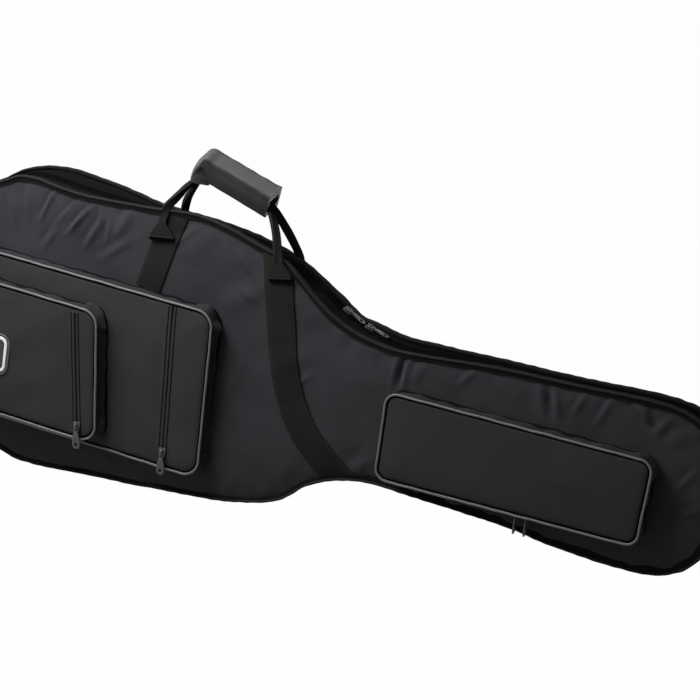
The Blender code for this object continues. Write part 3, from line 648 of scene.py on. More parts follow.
class Board:
    # The nodes of one material or of the world
    def __init__(self, owner, main="Principled BSDF", **constants):
        owner.use_nodes = True
        self.owner = owner
        self.nodes = owner.node_tree.nodes
        self.links = owner.node_tree.links
        self.shader = self.nodes[main]
        for key, value in constants.items():
            self.shader.inputs[key.replace("_", " ")].default_value = value

    def node(self, kind, settings=None, sockets=None, out=0):
        made = self.nodes.new(kind)
        for key, value in (settings or {}).items():
            if key == "stops":
                for stop, (place, colour) in zip(made.color_ramp.elements, value):
                    stop.position = place
                    stop.color = (*colour, 1.0)
            else:
                setattr(made, key, value)
        for key, value in (sockets or {}).items():
            if isinstance(value, Socket):
                self.links.new(value.link, made.inputs[key])
            else:
                made.inputs[key].default_value = value
        return Socket(self, made.outputs[out])

    def maths(self, operation, a, b=0.0):
        return self.node("ShaderNodeMath", {"operation": operation}, {0: a, 1: b})

    def wave(self, value, pitch):
        # A sine of unit height that repeats at the pitch, given in metres
        return self.maths("SINE", value * (2 * math.pi / pitch))

    def place(self):
        return self.node("ShaderNodeTexCoord", out="Object")

    def map_parts(self):
        # Distances along the cloth's own map, across and up it
        spot = self.node("ShaderNodeUVMap", {"uv_map": "cloth"})
        return [self.node("ShaderNodeSeparateXYZ", None, {0: spot}, out=axis) for axis in ("X", "Y")]

    def held(self, value):
        # A value kept between nought and one
        return self.maths("MINIMUM", self.maths("MAXIMUM", value, 0.0), 1.0)

    def noise(self, scale, detail, rough=0.5):
        sockets = {"Vector": self.place(), "Scale": scale, "Detail": detail, "Roughness": rough}
        return self.node("ShaderNodeTexNoise", None, sockets, out="Fac")

    def blend(self, share, first, second):
        # Two colours mixed by a share
        sockets = {"Factor": share, 6: (*first, 1.0), 7: (*second, 1.0)}
        return self.node("ShaderNodeMix", {"data_type": "RGBA"}, sockets, out=2)

    def bump(self, height, strength, distance, normal=None):
        sockets = {"Height": height, "Strength": strength, "Distance": distance}
        if normal:
            sockets["Normal"] = normal
        return self.node("ShaderNodeBump", None, sockets)

    def finish(self, **sockets):
        for key, value in sockets.items():
            self.links.new(value.link, self.shader.inputs[key.replace("_", " ")])
        return self.owner

    def white_when_seen(self, light, share, output):
        # Plain white where the camera sees it straight, in a reflection or through something clear
        rays = [self.node("ShaderNodeLightPath", out=ray)
                for ray in ("Is Camera Ray", "Is Glossy Ray", "Is Transmission Ray")]
        seen = self.maths("MAXIMUM", self.maths("MAXIMUM", rays[0], rays[1]), rays[2])
        white = self.node(light, None, {"Color": (1, 1, 1, 1), "Strength": 1.0})
        mixed = self.node("ShaderNodeMixShader", None,
                          {0: seen * share, 1: Socket(self, self.shader.outputs[0]), 2: white})
        self.links.new(mixed.link, self.nodes[output].inputs["Surface"])


def woven(name, dark, light, thread, crease, rough, sheen, shine, crease_scale=45.0):
    # Plain woven cloth: fine threads both ways, soft creases and a slight change of tone
    board = Board(bpy.data.materials.new(name), Specular_IOR_Level=shine, Sheen_Weight=sheen,
                  Sheen_Roughness=0.45)
    u, v = board.map_parts()
    threads = board.wave(u, thread) * board.wave(v, thread)
    cloud = board.noise(9.0, 3.0)
    patches = board.noise(27.0, 2.0)
    creases = board.noise(crease_scale, 4.0, 0.55)
    grain = board.noise(2600.0, 1.0)
    tone = threads * 0.16 + cloud * 0.55 + patches * 0.5 + grain * 0.3 + 0.175
    colour = board.blend(board.held(tone), dark, light)
    soft = board.bump(creases, 0.55, crease)
    fine = board.bump(threads, 0.25, thread * 0.12, soft)
    return board.finish(Base_Color=colour, Roughness=cloud * 0.2 + (rough - 0.1), Normal=fine)


def ribbed(name, dark, light, rib, pick, rough, shine, sheen=0.0):
    # Webbing and tape: ribs along its length, crossed by the picks of the weft
    board = Board(bpy.data.materials.new(name), Specular_IOR_Level=shine, Sheen_Weight=sheen,
                  Sheen_Roughness=0.5)
    u, v = board.map_parts()
    ribs = board.wave(u, rib)
    turns = board.wave(v + u * 0.5, pick)
    height = ribs * 0.6 + turns * ribs * 0.4
    cloud = board.noise(30.0, 3.0)
    tone = height * 0.25 + cloud * 0.5 + 0.2
    colour = board.blend(board.held(tone), dark, light)
    return board.finish(Base_Color=colour, Roughness=cloud * 0.15 + (rough - 0.07),
                        Normal=board.bump(height, 0.5, rib * 0.2))


def coated(name, dark, light, grain, rough, shine, crease):
    # Coated cloth or moulded plastic with a fine pebble grain
    board = Board(bpy.data.materials.new(name), Specular_IOR_Level=shine)
    pebble = board.node("ShaderNodeTexVoronoi", {"feature": "SMOOTH_F1"},
                        {"Vector": board.place(), "Scale": 1.0 / grain, "Smoothness": 0.6}, out="Distance")
    cloud = board.noise(24.0, 4.0)
    creases = board.noise(70.0, 3.0)
    colour = board.blend(board.maths("MINIMUM", cloud * 0.8 + pebble * 0.3, 1.0), dark, light)
    soft = board.bump(creases, 0.4, crease)
    return board.finish(Base_Color=colour, Roughness=cloud * 0.2 + (rough - 0.1),
                        Normal=board.bump(pebble, 0.3, grain * 0.25, soft))


def painted_metal(name, paint, bare, rough):
    # Painted die-cast metal, rubbed bare here and there
    board = Board(bpy.data.materials.new(name), Metallic=0.45, Specular_IOR_Level=0.5)
    rubbed = board.node("ShaderNodeValToRGB", {"stops": [(0.56, (0, 0, 0)), (0.72, (1, 1, 1))]},
                        {"Fac": board.noise(420.0, 5.0, 0.65)})
    speckle = board.noise(1800.0, 2.0)
    colour = board.blend(rubbed * 0.5, paint, bare)
    return board.finish(Base_Color=colour, Roughness=speckle * 0.2 + (rough - 0.1),
                        Normal=board.bump(speckle, 0.1, 0.0001))


NYLON = woven("satin nylon", (0.0146, 0.0140, 0.0158), (0.0331, 0.0317, 0.0350), thread=0.0009,
              crease=0.0017, rough=0.6, sheen=0.04, shine=0.02, crease_scale=34.0)
POCKET_NYLON = woven("pocket nylon", (0.0157, 0.0164, 0.0173), (0.0313, 0.0326, 0.034), thread=0.0009,
                     crease=0.0007, rough=0.62, sheen=0.04, shine=0.02, crease_scale=60.0)
# The pocket nylon painted darker for the pockets' walls, as painted shade
SHADED_POCKET_WALL = woven("shaded pocket wall nylon", (0.0098, 0.0100, 0.0106), (0.0208, 0.0212, 0.0222), thread=0.0009,
                    crease=0.0011, rough=0.62, sheen=0.04, shine=0.02, crease_scale=60.0)
# Nylon painted much darker, as painted shade on the walls to the zip, the cloth hinge and the pockets' base
# bands
SHADED_GUSSET = woven("shaded gusset nylon", (0.0028, 0.0027, 0.003), (0.0062, 0.006, 0.0066), thread=0.0009,
               crease=0.0012, rough=0.7, sheen=0.0, shine=0.0)
LINING_CLOTH = woven("brushed lining", (0.022, 0.022, 0.025), (0.045, 0.045, 0.05), thread=0.0011,
                     crease=0.0006, rough=0.85, sheen=0.25, shine=0.1)
# Tape painted lighter than the flat tape, a painted highlight on the edge bead and the shoulder straps' cords
HIGHLIGHT_TAPE = ribbed("edge bead with painted highlight", (0.0135, 0.0131, 0.0135), (0.030, 0.0292, 0.030), rib=0.0011, pick=0.0016,
              rough=0.62, shine=0.0, sheen=0.02)
FLAT_TAPE = ribbed("edge tape", (0.0055, 0.0053, 0.0055), (0.0125, 0.0122, 0.0125), rib=0.0011, pick=0.0016,
                   rough=0.62, shine=0.0, sheen=0.02)
WEBBING = ribbed("webbing", (0.0105, 0.0105, 0.0098), (0.0225, 0.0225, 0.0207), rib=0.0017, pick=0.0022,
                 rough=0.72, shine=0.0)
ZIP_TAPE = ribbed("zip tape", (0.003, 0.003, 0.0033), (0.006, 0.006, 0.0064), rib=0.0009, pick=0.0012,
                  rough=0.75, shine=0.0)
# Near black, as painted shade behind the piping, on pocket walls and across the handle loops' sewn ends
SEAM_SHADE = ribbed("painted seam shade", (0.001, 0.001, 0.0011), (0.002, 0.002, 0.0022), rib=0.0008, pick=0.0010,
              rough=0.85, shine=0.0)
TEETH = coated("zip teeth", (0.003, 0.003, 0.0034), (0.007, 0.007, 0.0074), grain=0.0006, rough=0.6,
               shine=0.0, crease=0.0)
PIPING = woven("grey piping", (0.050, 0.050, 0.052), (0.090, 0.090, 0.093), thread=0.0008, crease=0.0004,
               rough=0.45, sheen=0.1, shine=0.35, crease_scale=160.0)
LEATHERETTE = coated("grey leatherette", (0.040, 0.040, 0.040), (0.072, 0.071, 0.071), grain=0.0011,
                     rough=0.6, shine=0.06, crease=0.0006)
# The wrap's leatherette painted darker for the flap, as painted shade on its front
SHADED_FLAP_COVER = coated("shaded grey flap cover", (0.024, 0.024, 0.0245), (0.046, 0.0455, 0.046), grain=0.0011,
                    rough=0.6, shine=0.06, crease=0.0006)
METAL = painted_metal("gunmetal", (0.040, 0.040, 0.041), (0.16, 0.16, 0.163), rough=0.42)
DARK_METAL = painted_metal("dark gunmetal", (0.013, 0.013, 0.0135), (0.075, 0.075, 0.077), rough=0.45)
PLASTIC = coated("moulded buckle", (0.010, 0.010, 0.011), (0.020, 0.020, 0.021), grain=0.0008, rough=0.45,
                 shine=0.4, crease=0.0001)
RUBBER = coated("soft patch", (0.008, 0.008, 0.009), (0.014, 0.014, 0.015), grain=0.0007, rough=0.5,
                shine=0.4, crease=0.0001)
PALE_RUBBER = coated("pale patch rim", (0.60, 0.60, 0.58), (0.78, 0.78, 0.76), grain=0.0007, rough=0.5,
                     shine=0.4, crease=0.0001)
THREAD = ribbed("thread", (0.012, 0.012, 0.012), (0.030, 0.030, 0.030), rib=0.0006, pick=0.0006, rough=0.7,
                shine=0.2)


# Panels
COLUMNS = curve_through(UPPER, 420)


def panel_grid(rearness, inset=0.0):
    # Points along and across a panel inside the outline
    x = COLUMNS[:, 0]
    half = COLUMNS[:, 1] - inset
    share = np.linspace(-1, 1, PANEL_ROWS)[:, None]
    top = half + edge_shift(x, half, rearness)
    low = half - edge_shift(x, -half, rearness)
    middle = (COLUMNS[0, 0] + COLUMNS[-1, 0]) / 2
    squeeze = 1 - inset / (COLUMNS[-1, 0] - middle)
    x = middle + (x - middle) * squeeze
    z = np.where(share > 0, share * top, share * low)
    return np.broadcast_to(x, z.shape).copy(), z


def draped(x, depth, z, toward):
    # Cloth at its depth over a flat grid of points, which is also its map
    return cloth(np.stack([x, depth, z], 2), 0, toward, np.stack([x, z], 2) * MM)


def panel(surface, rearness, toward):
    x, z = panel_grid(rearness)
    return draped(x, surface(x, z), z, toward)


def loops_cloth(rings, finish, outward=True, middle=BAG_MIDDLE):
    # Cloth run through closed rings of points, which faces away from their middle or towards it
    rows = np.stack(rings)
    mesh = cloth(np.concatenate([rows, rows[:, :1]], 1), finish)
    weld(mesh)
    spread = face_vectors(mesh, "center") - metres(middle)
    facing = (face_vectors(mesh, "normal") * spread)[:, [0, 2]].sum()
    if (facing < 0) == outward:
        mesh.flip_normals()
    return mesh


EDGE_RIPPLE = ripples(OUTLINE[:, 0], OUTLINE[:, 1], 60, seed=21)
EDGE_PUCKER = ripples(OUTLINE[:, 0], OUTLINE[:, 1], 17, seed=22)
DEPTH = rear_depth(OUTLINE[:, 0])


def shell(side, face, wall, lining, inside):
    # Outer cloth and lining of one half, each with the walls that join it to the zip
    # The walls to the zip use the darkened gusset nylon, painted shade in the zip's valley
    made = piece(side + "_panel", [face, loops_cloth(wall, 1)], [NYLON, SHADED_GUSSET], side + "_half",
                 [side + "_shell"], merge=MERGE)
    made = piece(side + "_lining", [lining, loops_cloth(inside, 0, False)], [LINING_CLOTH], side + "_half",
                 [side + "_padding"], merge=MERGE)


def front_half():
    wall = [ring(-0.6, FRONT + 2.2, 0), ring(-2.8 + 0.5 * EDGE_RIPPLE, FRONT + 5.5, 0.12),
            ring(-3.8 + 0.7 * EDGE_RIPPLE, FRONT + 9, 0.27), ring(-2.4 + 0.4 * EDGE_RIPPLE, FRONT + 12, 0.4),
            ring(0.0, -7.2, 0.5)]
    x, z = panel_grid(0.2, LINING)
    depth = FRONT + LINING + inward(distance_to(x, z, FRONT_RIM), 20) * ripples(x, z, 90, seed=31)
    inside = [ring(-LINING, FRONT + LINING, 0.2), ring(-LINING, -6, 0.4), ring(-LINING + 1, -2.2, 0.5),
              ring(-4.5, -1.2, 0.5), ring(-0.2, -1.5, 0.5)]
    shell("front", panel(front_surface, 0, (0, -1, 0)), wall, draped(x, depth, z, (0, 1, 0)), inside)


def rear_half():
    wall = [ring(0.0, 7.2, 0.5), ring(-2.4 + 0.5 * EDGE_RIPPLE, 7.2 + (DEPTH - 7.2) * 0.3, 0.7),
            ring(-2.8 + 0.9 * EDGE_RIPPLE, 7.2 + (DEPTH - 7.2) * 0.6, 0.9),
            ring(-1.8 + 0.5 * EDGE_RIPPLE, DEPTH - 5, 1), ring(-0.6, DEPTH - 3.0, 1)]
    x, z = panel_grid(0.9, LINING)
    depth = rear_depth(x) - LINING + 0.8 * ripples(x, z, 90, seed=33)
    inside = [ring(-LINING, DEPTH - LINING, 0.9), ring(-LINING, 6, 0.6), ring(-LINING + 1, 2.2, 0.5),
              ring(-4.5, 1.2, 0.5), ring(-0.2, 1.5, 0.5)]
    shell("rear", panel(rear_surface, 1, (0, 1, 0)), wall, draped(x, depth, z, (0, -1, 0)), inside)


def edge_tape(name, section, rearness, depth, out, body, stands_for):
    # Binding tape folded over the seam, broader under the head, with the bead of its fold and its stitches
    broad = np.interp(OUTLINE[:, 0], *TAPE_BROADER) * ease((20 - OUTLINE[:, 1]) / 60)
    meshes = []
    # The bead takes the lighter tape, a painted highlight along the fold
    for finish, points in enumerate((section, BEAD)):
        rings = [ring(across - broad * (across < -4.5) + 0.35 * EDGE_PUCKER * (across > 1),
                      depth - out * deep + 0.3 * EDGE_RIPPLE, rearness) for across, deep in points]
        steps = TAPE_STEP * np.arange(LOOP_COUNT + 1)
        uv = np.stack(np.broadcast_arrays(travel(points)[None], steps[:, None]), 2) * MM
        meshes.append(tube(np.stack(rings, 1), finish, uv, joined=True))
    line = ring(section[1][0] + 0.4 - broad, depth - out * section[1][1], rearness)
    meshes.append(stitch_row(line, (0, out, 0), EDGE_STITCH, 2))
    piece(name, meshes, [FLAT_TAPE, HIGHLIGHT_TAPE, THREAD], body, [stands_for])


# Zips
def tooth():
    shape = block(TOOTH_SIZE)
    soften(shape, shape.edges[:], offset=0.3, segments=1)
    return shape


def spaced(line, pitch, lag):
    # Points at an even pitch along a line, the first of them behind by a share of the pitch
    far = travel(line)
    return at_places(np.arange(pitch * (0.5 + lag), far[-1], pitch), far, line)


def main_zip():
    # The zip leaves out the stretch of the cloth hinge
    run = np.array([k for k, (x, z) in enumerate(OUTLINE) if not (z < 0 and ZIP_ENDS[0] < x < ZIP_ENDS[1])])
    gap = int(np.argmax(np.diff(run))) + 1
    run = np.concatenate([run[gap:], run[:gap]])
    for side, sign, body in (("front", -1, "front_half"), ("rear", 1, "rear_half")):
        rows = np.stack([ring(0.9, sign * y, 0.5)[run] for y in (8.4, 6.0, 3.5, 1.6)])
        tape = cloth(rows, 0)
        outward = np.concatenate([OUTWARD[run][:-1]] * 3)
        if (face_vectors(tape, "normal")[:, [0, 2]] * outward).sum() < 0:
            tape.flip_normals()
        line = np.concatenate([ring(1.2, sign * 1.35, 0.5), np.insert(OUTWARD, 1, 0.0, 1)], 1)
        spots = spaced(line[run], TOOTH_PITCH, 0.25 * (1 + sign))
        out = unit(spots[:, 3:])
        deep = np.broadcast_to((0.0, 1.0, 0.0), out.shape)
        teeth = copies(tooth(), spots[:, :3], np.stack([np.cross(deep, out), deep, out], 1), 1)
        piece(side + "_zip_chain", [tape, teeth], [ZIP_TAPE, TEETH], body, [side + "_zip_half"])


def slider_body(length, half, low, high):
    # Saddle of a zip slider, narrower at its nose
    shape = block((length, 2 * half, high - low))
    bmesh.ops.subdivide_edges(shape, edges=shape.edges[:], cuts=2, use_grid_fill=True)
    bmesh.ops.translate(shape, vec=(0, 0, (high + low) / 2), verts=shape.verts)
    for vertex in shape.verts:
        nose = max(vertex.co.x / (length / 2), 0.0)
        vertex.co.y *= 1 - 0.28 * nose ** 2
        vertex.co.z -= 0.5 * abs(vertex.co.x / (length / 2)) ** 3 * (vertex.co.z > (high + low) / 2)
    outline = [edge for edge in shape.edges if edge.calc_face_angle(0.0) > 0.6]
    soften(shape, outline, offset=0.5, segments=2)
    return shape


def bridge(high):
    # Arch on the slider that holds the puller
    path = curve_through([(-4.2, high - 0.4), (-3.9, high + 1.7), (-2.6, high + 2.75), (0, high + 3.0),
                          (2.6, high + 2.75), (3.9, high + 1.7), (4.2, high - 0.4)], 25)
    rows = []
    for (a, h), (ca, ch) in zip(path, left_of(ways(path))):
        rows.append([(a + ca * t * ARCH_DEEP, w * ARCH_HALF, h + ch * t * ARCH_DEEP)
                     for w, t in ARCH_SECTION])
    return np.array(rows)


def ring_plate(outer, inner, thick):
    # A flat plate between an outer and an inner loop of points
    shape = bmesh.new()
    for loop in (outer, inner):
        made = bmesh.ops.create_circle(shape, segments=len(loop), radius=1.0)
        for vertex, (x, y) in zip(made["verts"], loop):
            vertex.co = (x, y, -thick / 2)
    bmesh.ops.bridge_loops(shape, edges=shape.edges[:])
    made = bmesh.ops.extrude_face_region(shape, geom=shape.faces[:])
    lifted = [item for item in made["geom"] if isinstance(item, bmesh.types.BMVert)]
    bmesh.ops.translate(shape, vec=(0, 0, thick), verts=lifted)
    bmesh.ops.recalc_face_normals(shape, faces=shape.faces)
    rim = [edge for edge in shape.edges if edge.calc_face_angle(0.0) > 1.0]
    soften(shape, rim, offset=0.28, segments=2)
    return shape


def full_turn(count):
    return np.linspace(0, 2 * math.pi, count, endpoint=False)


def squared(value, power):
    # A sine or cosine drawn out towards its ends, which makes a round outline squarer
    return math.copysign(abs(value) ** power, value)


def rounded_box(x0, x1, half, power):
    return [((x0 + x1) / 2 + (x1 - x0) / 2 * squared(math.cos(a), power), half * squared(math.sin(a), power))
            for a in full_turn(PLATE_POINTS)]


def pull_tag(longer, wider):
    # Outline of the puller's tag, narrow at the top and broad and round at the tip, and its hole
    outer = []
    for a in full_turn(PLATE_POINTS):
        x = 15.4 + longer / 2 + (10.1 + longer / 2) * squared(math.cos(a), 0.55)
        half = 3.2 + (1.4 + wider) * ease((x - 5) / 15)
        outer.append((x, half * squared(math.sin(a), 0.6)))
    inner = [(20.0 + longer + 2.3 * math.cos(a), 2.0 * math.sin(a)) for a in full_turn(PLATE_POINTS)]
    return outer, inner


def slider_and_puller(name, spot, along, out, low, high, pull_way, pull_out, metal, longer=0.0, wider=0.0):
    along, out = unit(along), unit(out)
    axes = np.stack([along, np.cross(out, along), out])
    slider, puller = name.replace("#", "slider"), name.replace("#", "puller")
    arch = bridge(high) @ axes + np.asarray(spot, float)
    made = [solid(slider_body(SLIDER_LENGTH, SLIDER_HALF, low, high), axes, spot), tube(arch)]
    piece(slider + "_metal", made, [metal], slider, [slider])
    pivot = np.asarray(spot, float) + out * (high + BRIDGE_HALF_CLEAR)
    pull_way, pull_out = unit(pull_way), unit(pull_out)
    axes = np.stack([pull_way, np.cross(pull_out, pull_way), pull_out])
    stirrup = ring_plate(rounded_box(-0.7, 6.4, 3.3, 0.45), rounded_box(0.7, 5.2, 2.0, 0.45), STIRRUP_THICK)
    tag = ring_plate(*pull_tag(longer, wider), TAG_THICK)
    made = [solid(stirrup, axes, pivot), solid(tag, axes, pivot)]
    piece(puller + "_metal", made, [metal], puller, [puller])


def main_sliders():
    spacing = math.degrees((PULL_LENGTH + SLIDER_LENGTH / 2 + 2.0) / WAIST_RADIUS)
    for side, angle in (("left", MAIN_LEFT_ANGLE), ("right", MAIN_LEFT_ANGLE - spacing)):
        turn = math.radians(angle)
        out = np.array((math.sin(turn), 0, math.cos(turn)))
        along = np.array((math.cos(turn), 0, -math.sin(turn)))
        spot = np.array((WAIST_CENTRE[0], 0, WAIST_CENTRE[1])) - out * (WAIST_RADIUS + SLIDER_SINK)
        slider_and_puller("main_#_" + side, spot, along, out, MAIN_LOW, MAIN_PLATE, along, out, DARK_METAL)


# Pockets
def rounded_loop(corners, radius, count):
    points = []
    for i, corner in enumerate(corners):
        here = np.array(corner, float)
        before = unit(np.array(corners[i - 1], float) - here)
        after = unit(np.array(corners[(i + 1) % 4], float) - here)
        centre = here + (before + after) * radius
        start = math.atan2(*(-after)[::-1])
        end = math.atan2(*(-before)[::-1])
        swing = (end - start + math.pi) % (2 * math.pi) - math.pi
        for k in range(9):
            a = start + swing * k / 8
            points.append(centre + radius * np.array((math.cos(a), math.sin(a))))
    closed = np.array(points + points[:1])
    far = travel(closed)
    return at_places(np.linspace(0, far[-1], count, endpoint=False), far, closed)


def loop_frame(loop):
    # Directions along a closed loop and out of it
    way = ways(loop, closed=True)
    normal = left_of(way)
    if ((loop - loop.mean(0)) * normal).sum() < 0:
        normal = -normal
    return way, normal


def round_corners(x, z, corners, radius):
    # Draws the points of a square grid into the rounded corners
    for i, (cx, cz) in enumerate(corners):
        side = 1 if i in (1, 2) else -1
        rise = 1 if i < 2 else -1
        a = (x - (cx - side * radius)) * side / radius
        b = (z - (cz - rise * radius)) * rise / radius
        inside = (a > 0) & (b > 0)
        a, b = np.clip(a, 0, 1), np.clip(b, 0, 1)
        x = np.where(inside, cx - side * radius + side * radius * a * np.sqrt(1 - b * b / 2), x)
        z = np.where(inside, cz - rise * radius + rise * radius * b * np.sqrt(1 - a * a / 2), z)
    return x, z


def pocket_grid(corners, radius, zip_line):
    (lx1, lz1), (rx1, rz1), (rx0, rz0), (lx0, lz0) = corners
    share = np.linspace(0, 1, 120)[:, None]
    left = lx0 + (lx1 - lx0) * share
    right = rx0 + (rx1 - rx0) * share
    height = lz0 + (lz1 - lz0) * share
    if zip_line:
        (zx1, zz1), (zx0, zz0) = zip_line
        centre = zx0 + (zx1 - zx0) * (height - zz0) / (zz1 - zz0)
        first = left + (centre - LIP_SHAPE[-1][0] - left) * np.linspace(0, 1, 90)[None, :-1]
        start = centre + LIP_SHAPE[-1][0]
        last = start + (right - start) * np.linspace(0, 1, 44)[None, 1:]
        x = np.concatenate([first, centre + np.array(ZIP_STRIP)[None], last], 1)
        aside = x - centre
    else:
        x = left + (right - left) * np.linspace(0, 1, 130)[None]
        aside = np.full_like(x, 99.0)
    across = (x - left) / (right - left)
    bottom = lz0 + (rz0 - lz0) * across
    top = lz1 + (rz1 - lz1) * across
    z = bottom + (top - bottom) * share
    x, z = round_corners(x, z, corners, radius)
    return x, z, aside


def lip_height(aside):
    # Two lips of folded cloth that meet over a zip, each with a seam line outside it
    return np.interp(np.abs(aside), *zip(*LIP_SHAPE))


def pocket(name, corners, radius, depths, zip_line, bulge, flare, base_shade, seed):
    base, face = depths
    loop = rounded_loop(corners, radius, 420)
    fine = rounded_loop(corners, radius, 1800)
    x, z, aside = pocket_grid(corners, radius, zip_line)
    d = distance_to(x, z, fine)
    away = 1 - 0.85 * hump(aside, 0, 16)
    y = face + 3.2 * np.exp(-d / 1.7) + 0.6 * np.exp(-d / 8)
    y -= (bulge * inward(d, 38) + 0.7 * ripples(x, z, 75, seed) * inward(d, 25)) * away
    if zip_line:
        (zx1, zz1), (zx0, zz0) = zip_line
        y -= lip_height(aside) * ease((z - zz0 + 2) / 5) * ease((zz1 + 2 - z) / 5)
    front = draped(x, y, z, (0, -1, 0))
    way, normal = loop_frame(loop)
    bend = np.abs(np.roll(way, -6, 0) - np.roll(way, 6, 0)).sum(1)
    far = travel(loop)
    seam_near = np.minimum(1, np.minimum(far, far[-1] - far) / 12)
    ear = ease((bend - 0.15) / 0.35) * (0.75 + 0.5 * ripples(loop[:, 0], loop[:, 1], 18, seed + 4))
    rings = []
    for share in np.linspace(0, 1, 15):
        depth = face + 3.0 + (base + 1.5 - face - 3.0) * share
        sag = np.interp(share, [0, 0.14, 0.3, 0.6, 0.85, 1], [-0.4, -3.4, -2.2, 0.2, 1.2, 2.0])
        sag = sag + flare * share ** 1.5 * np.clip(normal[:, 0], 0, 1)
        crumple = ripples(far, np.full(len(far), depth * 1.6), 30, seed + 1) * seam_near
        move = sag + crumple * math.sin(math.pi * share) * (1.6 + 1.2 * ease(bend / 0.6))
        move = move + min(6.0, 1.3 * flare) * ear * hump(share, 0.45, 0.2)
        rings.append(at_depth(loop + normal * np.reshape(move, (-1, 1)), depth))
    # Painted shade: near black strips behind the piping, a dark band above the base, a darker wall between
    strips = [2 if k < 2 else 4 if rim[0, 1] > base - base_shade else 3 for k, rim in enumerate(rings[1:])]
    wall = loops_cloth(rings, strips, True, at_depth(loop.mean(0)[None], base)[0])
    seam = at_depth(loop - normal * 5.0, face - 0.25)
    gutter = np.stack([at_depth(loop + normal * shift, face + deep) for shift, deep in GUTTER])
    gutter = cloth(np.concatenate([gutter, gutter[:, :1]], 1), 2, (0, -1, 0))
    piece(name + "_pocket_cloth", [front, wall, stitch_row(seam, (0, -1, 0), POCKET_STITCH, 1), gutter],
          [POCKET_NYLON, THREAD, SEAM_SHADE, SHADED_POCKET_WALL, SHADED_GUSSET], "front_half", [name + "_pocket"])
    turn = full_turn(14)
    rows = []
    for p, n, uneven in zip(loop, normal, ripples(loop[:, 0], loop[:, 1], 40, seed + 2)):
        at = p + n * (PIPING_RADIUS + 0.2 + 0.25 * uneven)
        rows.append([(at[0] + n[0] * PIPING_RADIUS * math.cos(a), face + 0.6 + PIPING_RADIUS * math.sin(a),
                      at[1] + n[1] * PIPING_RADIUS * math.cos(a)) for a in turn])
    piece(name + "_pocket_piping", [tube(rows, joined=True)], [PIPING], "front_half", [name + "_piping"])


def pocket_zip(name, start, end, out, recess):
    # Zip tape sunk between the lips, with the two sides of its coil
    start, end, out = np.array(start, float), np.array(end, float), unit(out)
    along = unit(end - start)
    across = np.cross(out, along)
    line = start + (end - start) * np.linspace(0, 1, 60)[:, None] - out * recess
    rows = np.stack([line + across * w for w in (-1.9, -1.2, 0, 1.2, 1.9)])
    meshes = [cloth(rows, 0, out)]
    for side in (-1, 1):
        spots = spaced(line + across * side * 1.0 + out * 0.35, COIL_PITCH, 0.25 * (1 + side))
        axes = np.broadcast_to(np.stack([along, across, out]), (len(spots), 3, 3))
        meshes.append(copies(pellet(COIL_SIZE), spots, axes, 1))
    piece(name + "_pocket_zip", meshes, [ZIP_TAPE, TEETH], "front_half", [name + "_zip"])


def pocket_zips():
    for name, line, face in (("large", LARGE_ZIP, LARGE_DEPTHS[1]), ("small", SMALL_ZIP, SMALL_DEPTHS[1])):
        (x1, z1), (x0, z0) = line
        top = np.array((x1, face, z1))
        low = np.array((x0, face, z0))
        pocket_zip(name, top, low, (0, -1, 0), 0.2)
        along = unit(low - top)
        spot = low - along * SLIDER_LENGTH / 2
        slider_and_puller(name + "_#", spot, along, (0, -1, 0), SLIDER_LOW, SLIDER_PLATE, along, (0, -1, 0),
                          METAL, *BODY_PULL_EXTRA)
    left = np.array((NECK[3][0], 0, NECK[3][1]), float)
    right = np.array((NECK[2][0], 0, NECK[2][1]), float)
    run = unit(right - left)
    down = np.array((run[2], 0, -run[0]))
    middle = np.array((0, (NECK_DEPTHS[0] + NECK_DEPTHS[1]) / 2, 0))
    start = left + run * NECK_ZIP_INSET + middle
    end = right - run * NECK_ZIP_INSET + middle
    pocket_zip("neck", start, end, down, -0.9)
    reach = (NECK_SLIDER_X - start[0]) / run[0]
    for side, shift in (("left", -0.5), ("right", 0.5)):
        spot = start + run * (reach + shift * NECK_SLIDER_SPACING)
        slider_and_puller("neck_#_" + side, spot, run, down, SLIDER_LOW, SLIDER_PLATE, down, run, METAL)


def badge():
    # A blank patch: a dark plate with a thin raised edge and a broad pale band inside it
    cx, cz, long, tall = BADGE
    y = SMALL_DEPTHS[1] - BADGE_LIFT
    corners = [(cx - long / 2, cz + tall / 2), (cx + long / 2, cz + tall / 2), (cx + long / 2, cz - tall / 2),
               (cx - long / 2, cz - tall / 2)]
    loop = rounded_loop(corners, BADGE_RADIUS, 160)
    normal = loop_frame(loop)[1]

    def around(section):
        return np.stack([at_depth(loop + normal * shift, y + deep) for shift, deep in section], 1)

    middle = np.array((cx, cz))
    rings = [around([(shift, deep)])[:, 0] for shift, deep in ((0, 2.6), (0, 0.6), (-0.4, 0.2), (-6, 0.2))]
    for share in (0.55, 0.3, 0.02):
        rings.append(at_depth(middle + (loop - middle) * share, y + 0.2))
    plate = tube(np.stack(rings), 0)
    edge = tube(around([(-1.4, 0.3), (-1.1, -0.25), (-0.4, -0.3), (0, 0.3)]), 2, joined=True)
    band = tube(around([(-7.6, 0.3), (-7.2, -0.5), (-5.6, -0.7), (-4.0, -0.5), (-3.6, 0.3)]), 1, joined=True)
    piece("badge_blank", [plate, band, edge], [RUBBER, PALE_RUBBER, PIPING], "front_half", ["badge_patch"])


